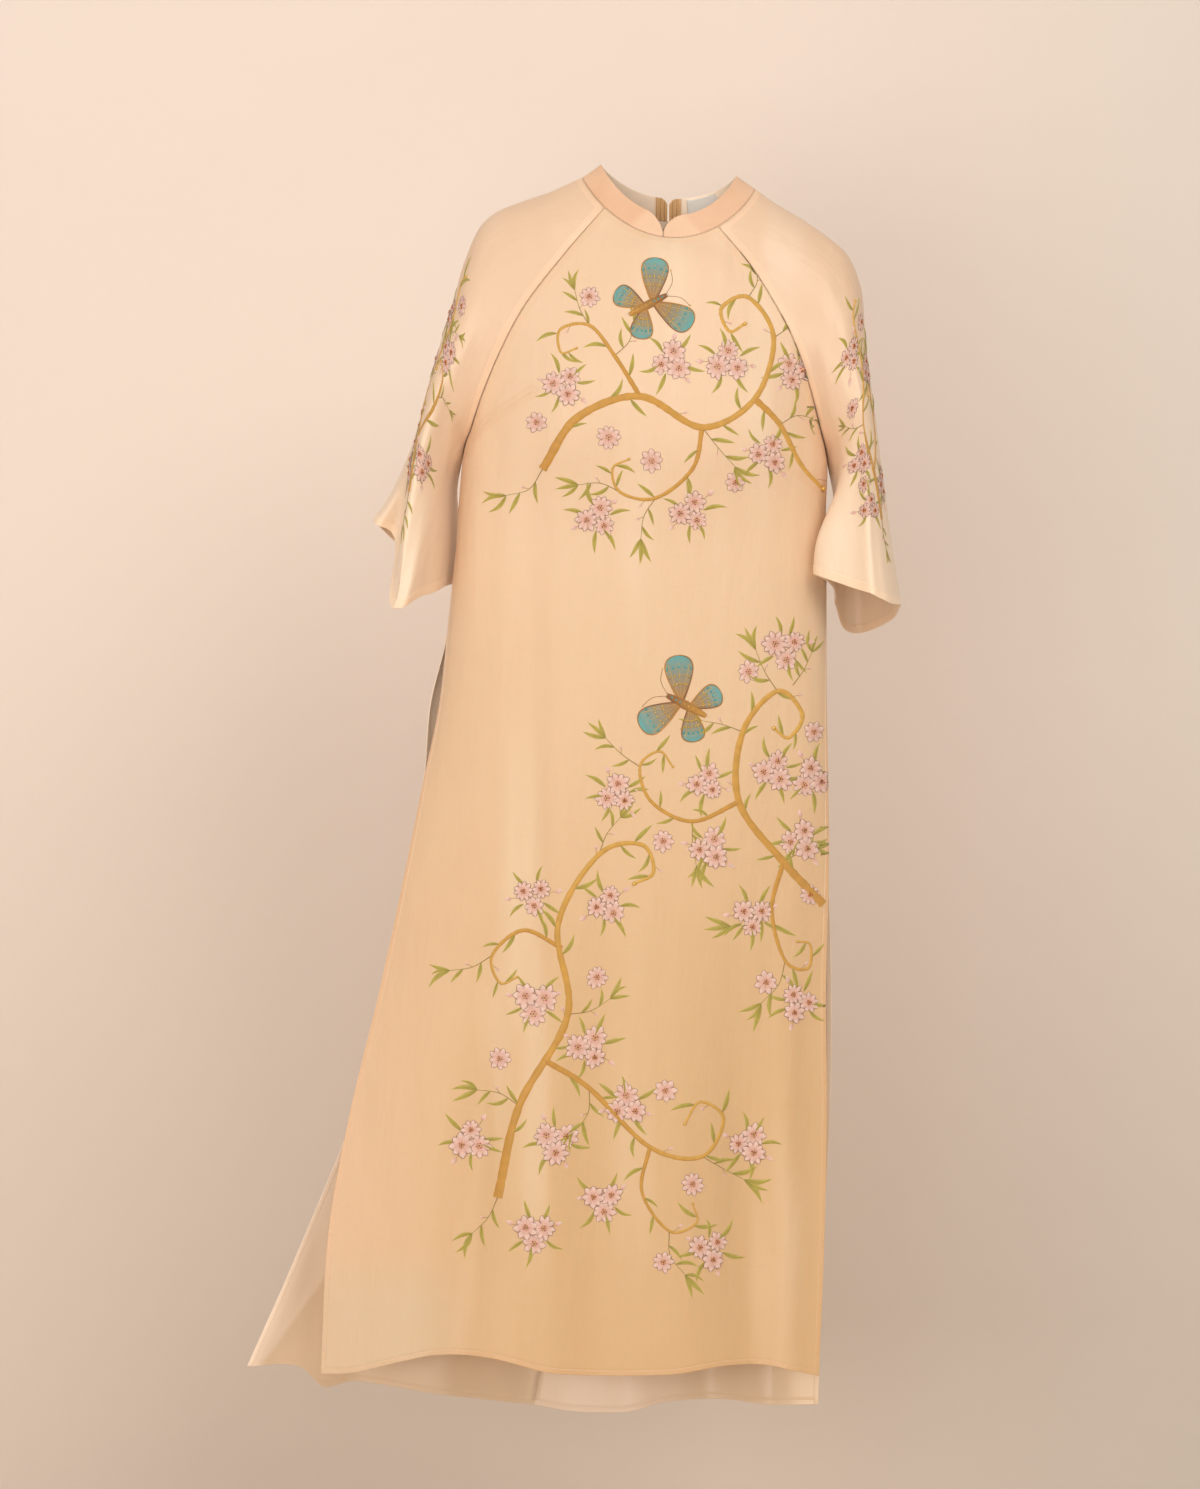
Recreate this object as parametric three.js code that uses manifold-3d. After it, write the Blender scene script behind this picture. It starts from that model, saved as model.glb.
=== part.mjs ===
// Ao dai: long silk tunic with raglan sleeves, a low stand collar and side slits from the waist, filled out
// as it is when worn, with nobody in it. Millimetres, +Z up, +X to the right of someone who looks at its
// front, -Y out of the front. The origin is the middle of the neck base, where the shoulders carry it.
import * as THREE from "three";
import { mergeVertices } from "three/addons/utils/BufferGeometryUtils.js";
import Module from "manifold-3d";

// ---------------------------------------------------------------- driving dimensions
const CLOTH = 1.2; // silk with its organza overlay
const SEAM_GAP = 0.3; // between two pieces along a seam
const SEAM_DRAW = SEAM_GAP * 0.55; // each edge of a seam is drawn back by this
const MITRE = 0.85; // seams that fold sharper than this cosine, as under the arm, are left square
const NECK = {
  x: -1.5, halfWidth: 89.5, halfDepth: 42, // ellipse of the neck seam, seen from above
  sideHeight: 23, tilt: 0.067, // its sides stand up, the left a little higher
  frontDip: 60, backDip: 36, dipPower: 1.6, // how far it falls from the sides to front and back
};
// raglan seams and the notch of the collar, in degrees round the neck from its right side
const ANGLE = {
  frontLeft: 137.7, notch: 94, frontRight: 55.7,
  backRight: 318, backMiddle: 270, backLeft: 222,
};
const COLLAR = {
  height: 24, wall: 1.8,
  lean: 0.82, rise: 0.57, tip: 0.22, // it leans in at the sides and stands up at front and back
  least: 3, frontRound: 22, backRound: 9, // its ends are rounded off
  backShare: 0.5, // the back end over this part of the height only
};
const ZIP = { fromRow: 0.25, toRow: 6.75, half: 11, wall: 1, off: 0.6 }; // tapes behind the centre-back seam
const SLIDER = { row: 0.5, wide: 6.4, deep: 2.4, long: 9, round: 1.2, off: 0.5 };
const EAR = { wide: 1, high: 3.4, play: 0.35, root: 0.2 }; // the two ears that hold the pin
const PIN = { radius: 0.6, out: 3.7, up: 1 }; // above the slider's face and its middle
const TAB = { wide: 4.2, thick: 1.2, long: 21, eye: 1.7, hole: 0.95, eyeWide: 2.4, neck: 2.7, turn: 17 };
const LABEL = { from: -76, to: -49, low: 0.2, high: 0.92, wall: 1, off: 0.4 };
const BUST = { out: 11, wide: 58, high: 62, places: [[-112, -222], [74, -240]] };

const UNDERARM = 6; // row where the raglan seams end and the side seams begin
const SLIT = 8; // row where the side seams end and the slits begin
const HEM = 16;
const CUFF = 9;
const FRONT_COLUMNS = [15, 11]; // left and right of the notch in the collar
const BACK_COLUMNS = 22;
const SLEEVE_COLUMNS = 20;
const ROW_STEPS = 2; // rows of faces between two rows of a table
const NECK_BLEND = 1.5; // rows over which the panels take up the curve of the neck seam
const HEM_BLEND = 1.5; // rows over which they take up the curve of the hem
const EDGE_FADE = 10; // folds and bust fade out over the outer ninth of the width

const PEACH = 0xf3cca3;
const SHEER_PEACH = 0xf5d2ac;
const COLLAR_PEACH = 0xf0c49a;
const LABEL_WHITE = 0xdcd8d2;
const TAPE_CREAM = 0xe9d9c2;
const ZIP_METAL = 0xc9c4ba;

// ---------------------------------------------------------------- small maths
const mix = THREE.MathUtils.lerp;
const clamp01 = (v) => THREE.MathUtils.clamp(v, 0, 1);
const ease = (v) => clamp01(v) ** 2 * (3 - 2 * clamp01(v));
const bell = (v) => Math.exp(-v * v);
const vec = (x, y, z) => new THREE.Vector3(x, y, z);

// Smooth curve through the rows of a table. The first column is where the row stands, the rest its values.
function along(rows, at) {
  let k = 0;
  while (k < rows.length - 2 && at > rows[k + 1][0]) k += 1;
  const [a, b] = [rows[k], rows[k + 1]];
  const before = rows[Math.max(k - 1, 0)];
  const after = rows[Math.min(k + 2, rows.length - 1)];
  const span = b[0] - a[0];
  const u = (at - a[0]) / span;
  return a.slice(1).map((value, i) => {
    const c = i + 1;
    const slopeA = ((b[c] - before[c]) / (b[0] - before[0])) * span;
    const slopeB = ((after[c] - a[c]) / (after[0] - a[0])) * span;
    const rise = b[c] - value;
    const bend = 3 * rise - 2 * slopeA - slopeB;
    return value + u * (slopeA + u * (bend + u * (slopeA + slopeB - 2 * rise)));
  });
}

// ---------------------------------------------------------------- neck seam
function neckPoint(degrees) {
  const turn = THREE.MathUtils.degToRad(degrees);
  const dip = Math.sin(turn) > 0 ? NECK.frontDip : NECK.backDip;
  const across = NECK.halfWidth * Math.cos(turn);
  const fall = dip * Math.abs(Math.sin(turn)) ** NECK.dipPower;
  const height = NECK.sideHeight - NECK.tilt * across - fall;
  return vec(NECK.x + across, -NECK.halfDepth * Math.sin(turn), height);
}

// ---------------------------------------------------------------- front and back panels
// One row of each table is one level of the garment, from the neckline to the hem. Rows 1 to 6 end on the
// raglan seams, 6 to 8 on the side seams, and the rest on the slit edges. Its columns are the row, the left
// edge's x and z, the right edge's x and z, the depth of the edges, the depth of the middle, and how far the
// edges turn to the side.
const FRONT_ROWS = [
  [1, -109.5, -54, 84, -68, -42, -58, 0.25],
  [2, -150, -107, 114.5, -118.5, -48, -70, 0.3],
  [3, -176, -155, 130, -151, -45, -79, 0.45],
  [4, -195, -200, 143.5, -190, -36, -84, 0.6],
  [5, -206, -232, 154.5, -231, -21, -85, 0.8],
  [6, -215, -259, 163, -267, 0, -83, 1],
  [7, -220, -312, 162, -315, 0, -76, 1],
  [8, -223, -362, 162, -362, 0, -71, 1],
  [9, -231, -440, 162, -440, -10, -71, 0.9],
  [10, -240, -520, 162, -520, -17, -74, 0.8],
  [11, -256, -600, 163, -600, -23, -77, 0.7],
  [12, -276, -700, 163, -700, -29, -80, 0.6],
  [13, -302, -820, 160, -820, -35, -82, 0.5],
  [14, -331, -940, 161, -940, -41, -84, 0.45],
  [15, -353, -1065, 158.5, -1070, -46, -85, 0.4],
  [16, -361, -1210, 152.5, -1212, -50, -86, 0.35],
];
const BACK_ROWS = [
  [1, -112, -40, 74, -52, 44, 53, 0.25],
  [2, -149, -94, 114, -104, 51, 62, 0.3],
  [3, -174, -146, 132, -143, 47, 67, 0.45],
  [4, -192.5, -194, 144, -186, 37, 69, 0.6],
  [5, -206, -232, 154.5, -231, 21, 68, 0.8],
  [6, -215, -259, 163, -267, 0, 65, 1],
  [7, -220, -312, 162, -315, 0, 58, 1],
  [8, -223, -362, 162, -362, 0, 54, 1],
  [9, -231, -440, 162, -440, 10, 57, 0.9],
  [10, -250, -520, 163, -520, 17, 61, 0.8],
  [11, -257, -597, 164, -600, 22, 63, 0.7],
  [12, -273, -695, 166, -700, 27, 63, 0.6],
  [13, -300, -820, 169, -820, 31, 62, 0.5],
  [14, -330, -945, 167.5, -945, 33, 60, 0.45],
  [15, -386, -1085, 160, -1080, 30, 58, 0.4],
  [16, -440, -1208, 155, -1250, 24, 57, 0.35],
];
// place across the hem, how far the hem rises there
const FRONT_HEM = [
  [0, 0], [0.09, 2], [0.2, 15], [0.27, 22], [0.37, 20], [0.48, 5], [0.66, 4], [0.77, 12], [0.86, 12],
  [0.94, 5], [1, 0],
];
const BACK_HEM = [
  [0, 0], [0.12, 0], [0.165, -20], [0.22, -13], [0.35, -19], [0.5, -26], [0.56, -29], [0.64, -24],
  [0.7, -11], [0.8, -4], [0.88, -4], [0.95, -2], [1, 0],
];
// soft vertical folds: x at the top, x at the hem, top, half-width, depth (+ sinks in, - stands out)
const FRONT_FOLDS = [
  [-168, -222, -600, 26, 9], [-112, -150, -660, 28, -6], [-60, -78, -520, 26, 5], [4, 12, -640, 30, -6],
  [62, 84, -700, 24, 8], [118, 126, -560, 18, -5], [-142, -146, -96, 16, 4],
];
const BACK_FOLDS = [
  [-150, -330, -420, 30, -12], [-104, -236, -460, 34, 10], [-52, -140, -430, 30, -9],
  [6, -40, -420, 30, 9], [58, 44, -460, 26, -11], [112, 104, -480, 22, 9],
];
const FOLD_RISE = 420; // a fold reaches its full depth this far below its top
const CURL = { from: 13.6, width: 0.055, out: 20 }; // the lower left corner of the back turns forward

function makePanel(rows, from, to, side, folds, hem) {
  const left = neckPoint(from);
  const right = neckPoint(to);
  const depth = side * NECK.halfDepth;
  const table = [[0, left.x, left.z, right.x, right.z, left.y, depth, 0.25], ...rows];
  return { table, from, to, side, folds, hem };
}
const FRONT = makePanel(FRONT_ROWS, ANGLE.frontLeft, ANGLE.frontRight, -1, FRONT_FOLDS, FRONT_HEM);
const BACK = makePanel(BACK_ROWS, ANGLE.backLeft, ANGLE.backRight, 1, BACK_FOLDS, BACK_HEM);

// The plain panel: an arc from edge to edge whose middle stands out.
function plainPoint(panel, row, t) {
  const [xLeft, zLeft, xRight, zRight, edge, middle, turn] = along(panel.table, row);
  const across = mix(t, (1 - Math.cos(Math.PI * t)) / 2, turn);
  const swell = Math.sin(Math.PI * clamp01(t)) ** (1.4 - 0.6 * turn);
  const side = Math.sign(middle);
  const clear = side * Math.max(0, side * edge);
  return vec(mix(xLeft, xRight, across), mix(clear, middle, swell), mix(zLeft, zRight, across));
}

function panelPoint(panel, row, t) {
  const point = plainPoint(panel, row, t);
  const onNeck = clamp01(1 - row / NECK_BLEND) ** 2;
  if (onNeck > 0) {
    const pull = neckPoint(mix(panel.from, panel.to, t)).sub(plainPoint(panel, 0, t));
    point.addScaledVector(pull, onNeck);
  }
  const within = clamp01(EDGE_FADE * t * (1 - t));
  for (const [xTop, xHem, top, half, sink] of panel.folds) {
    const down = clamp01((top - point.z) / (top - panel.table[HEM][2]));
    const grown = ease((top - point.z) / FOLD_RISE);
    point.y -= panel.side * sink * within * grown * bell((point.x - mix(xTop, xHem, down)) / half);
  }
  if (panel === FRONT) {
    for (const [x, z] of BUST.places) {
      point.y -= BUST.out * within * bell((point.x - x) / BUST.wide) * bell((point.z - z) / BUST.high);
    }
  } else if (row > CURL.from) {
    point.y -= CURL.out * bell(t / CURL.width) * ((row - CURL.from) / (HEM - CURL.from)) ** 2;
  }
  point.z += along(panel.hem, t)[0] * ease((row - HEM + HEM_BLEND) / HEM_BLEND) ** 2;
  return point;
}

// ---------------------------------------------------------------- sleeves
// over: row, x and z of the line over the shoulder and down the outside of the arm.
// under: row, x, y and z of the seam under the arm.
// shape: row, depth of the front half, depth of the back half, how far the front leans outward from its seam.
// drop: place round the arm, how far the cuff hangs down there.
// folds: place round the arm where it starts and at the cuff, half-width, push in x and y, row it starts on.
const SLEEVE_TOP = [
  [0, 0, 0, 0.55], [1, 0, 0, 0.55], [2, 2, 2, 0.55], [3, 12, 10, 0.55],
  [4, 30, 26, 0.55], [5, 50, 44, 0.6],
];
const SLEEVES = {
  left: {
    panelEdge: 0,
    neck: [180, ANGLE.frontLeft, ANGLE.backLeft],
    over: [
      [1, -140, 8], [2, -190, -14], [3, -212, -57], [4, -225, -105], [5, -239, -147], [6, -252, -190],
      [7, -266, -244], [8, -285, -290], [9, -308, -327],
    ],
    under: [[6, -215, 0, -259], [7, -222, 24, -298], [8, -217, 40, -342], [9, -212, 50, -386]],
    shape: [
      ...SLEEVE_TOP,
      [6, 74, 60, 0.6], [7, 94, 60, 0.62], [8, 110, 58, 0.62], [9, 118, 56, 0.62],
    ],
    drop: [
      [0, 3], [0.05, 19], [0.1, 37], [0.15, 52], [0.2, 70], [0.25, 78], [0.3, 83], [0.34, 84],
      [0.36, 72], [0.41, 16], [0.45, 6], [0.5, 0], [0.75, 12], [1, 3],
    ],
    folds: [[0.405, 0.405, 0.035, 18, 40, 7.2], [0.33, 0.33, 0.05, 9, 0, 7.8], [0.1, 0.2, 0.05, 0, -14, 6.3]],
  },
  right: {
    panelEdge: 1,
    neck: [0, ANGLE.frontRight, ANGLE.backRight - 360],
    over: [
      [1, 132, -12], [2, 178, -45], [3, 197, -84], [4, 202, -128], [5, 205, -166], [6, 211, -215],
      [7, 219, -278], [8, 228, -350], [9, 239, -418],
    ],
    under: [[6, 163, 0, -267], [7, 171, 16, -308], [8, 172, 32, -356], [9, 173, 45, -412]],
    shape: [
      ...SLEEVE_TOP,
      [6, 74, 60, 0.55], [7, 92, 62, 0.35], [8, 104, 64, 0.1], [9, 112, 66, 0],
    ],
    drop: [
      [0, 0], [0.13, -28], [0.22, -12], [0.35, -2], [0.5, 0], [0.62, 14], [0.78, 28], [0.88, 26],
      [0.95, 8], [1, 0],
    ],
    folds: [[0.13, 0.14, 0.06, -38, 0, 5.6], [0.25, 0.25, 0.035, 0, -7, 4]],
  },
};
const OVER_DEPTH = 2; // the line over the arm lies just behind the side seam
const CIRCLE = 0.5523; // Bezier handle of a quarter circle
const BULGE = 4 / 3; // Bezier handles that give a half section its full depth
const BACK_LEAN = 0.1; // below the arm the back half leaves its seam almost straight back
const CUFF_BLEND = 2.5; // rows over which the sleeve takes up the curve of its hem

function overPoint(sleeve, row) {
  const top = neckPoint(sleeve.neck[0]);
  const [x, z] = along([[0, top.x, top.z], ...sleeve.over], row);
  return vec(x, OVER_DEPTH * clamp01(row), z);
}

// The plain section: two Bezier halves, front and back, from the seam to the line over the arm.
function sleeveSection(sleeve, row, t) {
  const front = t < 0.5;
  const side = front ? -1 : 1;
  const over = overPoint(sleeve, row);
  const onPanel = row <= UNDERARM;
  const panel = front ? FRONT : BACK;
  const seam = onPanel ? panelPoint(panel, row, sleeve.panelEdge) : vec(...along(sleeve.under, row));
  const [frontDepth, backDepth, slant] = along(sleeve.shape, row);
  const bulge = side * BULGE * (front ? frontDepth : backDepth);
  const closed = clamp01(row / UNDERARM) ** 3;
  const lean = front ? slant : mix(CIRCLE, BACK_LEAN, closed);
  const nearSeam = vec(mix(seam.x, over.x, lean), seam.y + bulge, mix(seam.z, over.z, lean));
  const nearOver = over.clone();
  nearOver.y += CIRCLE * (1 - closed) * (seam.y - over.y) + bulge;
  const half = new THREE.CubicBezierCurve3(seam, nearSeam, nearOver, over);
  return half.getPoint(front ? 2 * t : 2 - 2 * t);
}

function sleevePoint(sleeve, row, t) {
  const point = sleeveSection(sleeve, row, t);
  const onNeck = clamp01(1 - row / NECK_BLEND) ** 2;
  if (onNeck > 0) {
    const [middle, first, last] = sleeve.neck;
    const angle = t < 0.5 ? mix(first, middle, 2 * t) : mix(middle, last, 2 * t - 1);
    point.addScaledVector(neckPoint(angle).sub(sleeveSection(sleeve, 0, t)), onNeck);
  }
  for (const [atTop, atCuff, half, pushX, pushY, from] of sleeve.folds) {
    const down = clamp01((row - from) / (CUFF - from));
    const grown = ease(down) * bell((t - mix(atTop, atCuff, down)) / half);
    point.x += pushX * grown;
    point.y += pushY * grown;
  }
  const nearCuff = ease((row - CUFF + CUFF_BLEND) / CUFF_BLEND) ** 1.5;
  point.z -= along(sleeve.drop, t)[0] * nearCuff;
  return point;
}

// ---------------------------------------------------------------- collar
function collarLean(degrees) {
  const turn = THREE.MathUtils.degToRad(degrees);
  const [across, out] = [Math.cos(turn), Math.sin(turn)];
  const inward = -COLLAR.lean * across * Math.sqrt(Math.abs(across));
  return vec(inward, COLLAR.tip * out, COLLAR.rise + (1 - COLLAR.rise) * Math.abs(out)).normalize();
}

// Height of the band: both ends are rounded off, the front one down to a notch.
function collarHeight(degrees) {
  const point = neckPoint(degrees);
  const fromFront = point.distanceTo(neckPoint(ANGLE.notch));
  const fromBack = point.distanceTo(neckPoint(ANGLE.backMiddle));
  const round = (distance, radius) => Math.sqrt(1 - clamp01(1 - distance / radius) ** 2);
  const back = mix(COLLAR.backShare, 1, round(fromBack, COLLAR.backRound));
  return Math.max(COLLAR.least, COLLAR.height * Math.min(round(fromFront, COLLAR.frontRound), back));
}

const collarPoint = (degrees, part) =>
  neckPoint(degrees).addScaledVector(collarLean(degrees), part * collarHeight(degrees));

// ---------------------------------------------------------------- cloth walls
// The skins are drawn as one surface. Each is then given its thickness inwards, with normals shared along the
// seams so that the walls meet in mitres, and every sewn edge draws back by half the seam gap.
const skins = [];
const seamNormals = new Map();
const seamKey = (p) => [p.x, p.y, p.z].map((v) => Math.round(v * 100)).join();

function range(from, to, steps) {
  return Array.from({ length: steps + 1 }, (_, k) => mix(from, to, k / steps));
}

// rows is a list of rows of points. Rows from closedFrom on are rings, whose last point is the first again.
function drawSkin(name, colour, rows, { flip = false, closedFrom = Infinity, wall = CLOTH } = {}) {
  const columns = rows[0].length;
  const points = [];
  const index = rows.map((row, i) => row.map((point, j) => {
    if (i >= closedFrom && j === columns - 1) return -1;
    points.push(point);
    return points.length - 1;
  }));
  for (const row of index.slice(closedFrom)) row[columns - 1] = row[0];
  const faces = [];
  for (let i = 0; i + 1 < rows.length; i += 1) {
    for (let j = 0; j + 1 < columns; j += 1) {
      const [a, b, c, d] = [index[i][j], index[i + 1][j], index[i + 1][j + 1], index[i][j + 1]];
      faces.push(flip ? [a, c, b] : [a, b, c], flip ? [a, d, c] : [a, c, d]);
    }
  }
  const normals = points.map(() => vec(0, 0, 0));
  for (const [a, b, c] of faces) {
    const normal = points[b].clone().sub(points[a]).cross(points[c].clone().sub(points[a]));
    for (const k of [a, b, c]) normals[k].add(normal);
  }
  normals.forEach((normal, k) => {
    normal.normalize();
    const key = seamKey(points[k]);
    const sewn = seamNormals.get(key) ?? { sum: vec(0, 0, 0), pieces: 0 };
    sewn.sum.add(normal);
    sewn.pieces += 1;
    seamNormals.set(key, sewn);
  });
  skins.push({ name, colour, points, faces, normals, wall });
}

function wallGeometry({ points, faces, normals, wall }) {
  const count = points.length;
  const edges = new Map();
  for (const face of faces) {
    face.forEach((a, k) => {
      const b = face[(k + 1) % 3];
      if (edges.has(`${b},${a}`)) edges.delete(`${b},${a}`);
      else edges.set(`${a},${b}`, [a, b]);
    });
  }
  const isSewn = (k) => seamNormals.get(seamKey(points[k])).pieces > 1;
  const inward = points.map(() => vec(0, 0, 0));
  for (const [a, b] of edges.values()) {
    if (!isSewn(a) || !isSewn(b)) continue;
    const seam = points[b].clone().sub(points[a]);
    for (const k of [a, b]) inward[k].add(normals[k].clone().cross(seam).normalize());
  }
  const outer = points.map((point, k) => point.clone().addScaledVector(inward[k].normalize(), SEAM_DRAW));
  const inner = outer.map((point, k) => {
    const shared = seamNormals.get(seamKey(points[k])).sum.clone().normalize();
    const slope = shared.dot(normals[k]);
    return slope < MITRE ? point.clone().addScaledVector(normals[k], -wall)
      : point.clone().addScaledVector(shared, -wall / slope);
  });
  const triangles = [];
  for (const [a, b, c] of faces) triangles.push(a, b, c, a + count, c + count, b + count);
  for (const [a, b] of edges.values()) triangles.push(a, a + count, b + count, a, b + count, b);
  const geometry = new THREE.BufferGeometry();
  const flat = [...outer, ...inner].flatMap((p) => [p.x, p.y, p.z]);
  geometry.setAttribute("position", new THREE.Float32BufferAttribute(flat, 3));
  geometry.setIndex(triangles);
  return geometry;
}

// ---------------------------------------------------------------- pieces
const group = new THREE.Group();

function addMesh(parent, name, geometry, colour, roughness = 0.55, metalness = 0) {
  const material = new THREE.MeshStandardMaterial({ color: colour, roughness, metalness });
  const mesh = new THREE.Mesh(geometry, material);
  mesh.name = name;
  parent.add(mesh);
}

const bodyRows = range(0, HEM, HEM * ROW_STEPS);
const sleeveRows = range(0, CUFF, CUFF * ROW_STEPS);
const notch = (ANGLE.frontLeft - ANGLE.notch) / (ANGLE.frontLeft - ANGLE.frontRight);
const frontPlaces = [...range(0, notch, FRONT_COLUMNS[0]), ...range(notch, 1, FRONT_COLUMNS[1]).slice(1)];

const panelSkin = (panel, rows, places) => rows.map((row) => places.map((t) => panelPoint(panel, row, t)));

function sleeveSkin(sleeve) {
  const places = range(0, 1, SLEEVE_COLUMNS);
  return sleeveRows.map((row) => places.map((t) => sleevePoint(sleeve, row, t)));
}

// The collar's columns are those of the pieces below it, so that the seam is one line of points.
function collarSkin(sleeve, frontColumns, backMiddle) {
  const [middle, first, last] = sleeve.neck;
  const half = SLEEVE_COLUMNS / 2;
  const angles = [
    ...range(ANGLE.notch, first, frontColumns),
    ...range(first, middle, half).slice(1),
    ...range(middle, last, half).slice(1),
    ...range(last, backMiddle, BACK_COLUMNS / 2).slice(1),
  ];
  return [0, 0.5, 1].map((part) => angles.map((angle) => collarPoint(angle, part)));
}

drawSkin("front_panel", PEACH, panelSkin(FRONT, bodyRows, frontPlaces));
// Each half of the back is cut in one piece. It is held here as two solids that meet where the slits begin.
for (const [name, from, to] of [["back_left", 0, 0.5], ["back_right", 0.5, 1]]) {
  const places = range(from, to, BACK_COLUMNS / 2);
  const upper = panelSkin(BACK, bodyRows.filter((row) => row <= SLIT), places);
  const skirt = panelSkin(BACK, bodyRows.filter((row) => row >= SLIT), places);
  drawSkin(name, PEACH, upper, { flip: true });
  drawSkin(`${name}_skirt`, PEACH, skirt, { flip: true });
}
const closedFrom = UNDERARM * ROW_STEPS;
drawSkin("sleeve_left", SHEER_PEACH, sleeveSkin(SLEEVES.left), { flip: true, closedFrom });
drawSkin("sleeve_right", SHEER_PEACH, sleeveSkin(SLEEVES.right), { closedFrom });
const collarLeft = collarSkin(SLEEVES.left, FRONT_COLUMNS[0], ANGLE.backMiddle);
const collarRight = collarSkin(SLEEVES.right, FRONT_COLUMNS[1], ANGLE.backMiddle - 360);
drawSkin("collar_left", COLLAR_PEACH, collarLeft, { wall: COLLAR.wall });
drawSkin("collar_right", COLLAR_PEACH, collarRight, { flip: true, wall: COLLAR.wall });

// ---------------------------------------------------------------- label and zip tapes, inside the cloth
function inside(point, alongRow, acrossRow, depth) {
  const outward = acrossRow.clone().cross(alongRow).normalize();
  return point.clone().addScaledVector(outward, -depth);
}

const NUDGE = 1e-3; // step of the finite differences that give a surface its normal

function behindBack(row, t, depth) {
  const down = panelPoint(BACK, row + NUDGE, t).sub(panelPoint(BACK, row - NUDGE, t));
  const across = panelPoint(BACK, row, t + NUDGE).sub(panelPoint(BACK, row, t - NUDGE));
  return inside(panelPoint(BACK, row, t), down, across, depth);
}

function behindCollar(degrees, part, depth) {
  const up = collarPoint(degrees, part + NUDGE).sub(collarPoint(degrees, part - NUDGE));
  const round = collarPoint(degrees + NUDGE, part).sub(collarPoint(degrees - NUDGE, part));
  return inside(collarPoint(degrees, part), round, up, depth);
}

function tapeRows(side) {
  const rows = bodyRows.filter((row) => row > ZIP.fromRow && row <= ZIP.toRow);
  return [ZIP.fromRow, ...rows, ZIP.toRow].map((row) => {
    const step = panelPoint(BACK, row, 0.5 + NUDGE).distanceTo(panelPoint(BACK, row, 0.5 - NUDGE));
    const width = step / (2 * NUDGE);
    const near = 0.5 + (side * SEAM_GAP) / 2 / width;
    const far = 0.5 + (side * ZIP.half) / width;
    const ends = side < 0 ? [far, near] : [near, far];
    return ends.map((t) => behindBack(row, t, CLOTH + ZIP.off));
  });
}

const labelDepth = COLLAR.wall + LABEL.off;
const labelAngles = range(LABEL.from, LABEL.to, 6);
const labelRow = (part) => labelAngles.map((angle) => behindCollar(angle, part, labelDepth));
const labelRows = range(LABEL.low, LABEL.high, 2).map(labelRow);
drawSkin("neck_label", LABEL_WHITE, labelRows, { wall: LABEL.wall });
drawSkin("zip_tape_left", TAPE_CREAM, tapeRows(-1), { flip: true, wall: ZIP.wall });
drawSkin("zip_tape_right", TAPE_CREAM, tapeRows(1), { flip: true, wall: ZIP.wall });
for (const skin of skins) addMesh(group, skin.name, wallGeometry(skin), skin.colour);

// ---------------------------------------------------------------- zip slider and its pull tab
// In their own frame: x across the seam, y out of the cloth, z up along it.
const wasm = await Module();
wasm.setup();

function solid(geometry) {
  const plain = geometry.index ? geometry.toNonIndexed() : geometry.clone();
  plain.deleteAttribute("normal");
  plain.deleteAttribute("uv");
  const merged = mergeVertices(plain);
  return new wasm.Manifold(new wasm.Mesh({
    numProp: 3,
    vertProperties: Float32Array.from(merged.attributes.position.array),
    triVerts: Uint32Array.from(merged.index.array),
  }));
}

function fromSolid(manifold) {
  const mesh = manifold.getMesh();
  const geometry = new THREE.BufferGeometry();
  geometry.setAttribute("position", new THREE.BufferAttribute(mesh.vertProperties, 3));
  geometry.setIndex(new THREE.BufferAttribute(mesh.triVerts, 1));
  return geometry;
}

const block = (wide, deep, high, x, y, z) =>
  solid(new THREE.BoxGeometry(wide, deep, high).translate(x, y, z));
const bar = (radius, wide, y, z, sides = 16) =>
  solid(new THREE.CylinderGeometry(radius, radius, wide, sides).rotateZ(Math.PI / 2).translate(0, y, z));

// A plate with rounded corners, drawn in x and z and given its thickness along y.
function plate(wide, high, round, thick, y, z) {
  const [x, h] = [wide / 2, high / 2];
  const outline = new THREE.Shape();
  outline.absarc(x - round, h - round, round, 0, Math.PI / 2);
  outline.absarc(round - x, h - round, round, Math.PI / 2, Math.PI);
  outline.absarc(round - x, round - h, round, Math.PI, 1.5 * Math.PI);
  outline.absarc(x - round, round - h, round, 1.5 * Math.PI, 2 * Math.PI);
  const options = { depth: thick, bevelEnabled: false, curveSegments: 4 };
  const geometry = new THREE.ExtrudeGeometry(outline, options);
  return solid(geometry.rotateX(Math.PI / 2).translate(0, y + thick / 2, z));
}

const pinY = SLIDER.deep + PIN.out;
const earX = TAB.eyeWide / 2 + EAR.play + EAR.wide / 2;
const earDeep = PIN.out + EAR.high / 2;

function sliderGeometry() {
  let body = plate(SLIDER.wide, SLIDER.long, SLIDER.round, SLIDER.deep, SLIDER.deep / 2, 0);
  const earY = SLIDER.deep + earDeep / 2 - EAR.root;
  for (const side of [-1, 1]) body = body.add(block(EAR.wide, earDeep, EAR.high, side * earX, earY, PIN.up));
  return fromSolid(body.add(bar(PIN.radius, 2 * earX, pinY, PIN.up, 12)));
}

// The tab hangs from its eye, which is at the frame's origin.
function tabGeometry() {
  const middle = -(TAB.long + TAB.neck) / 2;
  const blade = plate(TAB.wide, TAB.long - TAB.neck, TAB.wide / 2.2, TAB.thick, 0, middle);
  const neck = block(TAB.eyeWide, TAB.thick, TAB.neck + 1, 0, 0, -(TAB.neck + 1) / 2);
  const eye = bar(TAB.eye, TAB.eyeWide, 0, 0).add(neck).subtract(bar(TAB.hole, TAB.eyeWide + 1, 0, 0, 12));
  return fromSolid(blade.add(eye));
}

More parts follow.
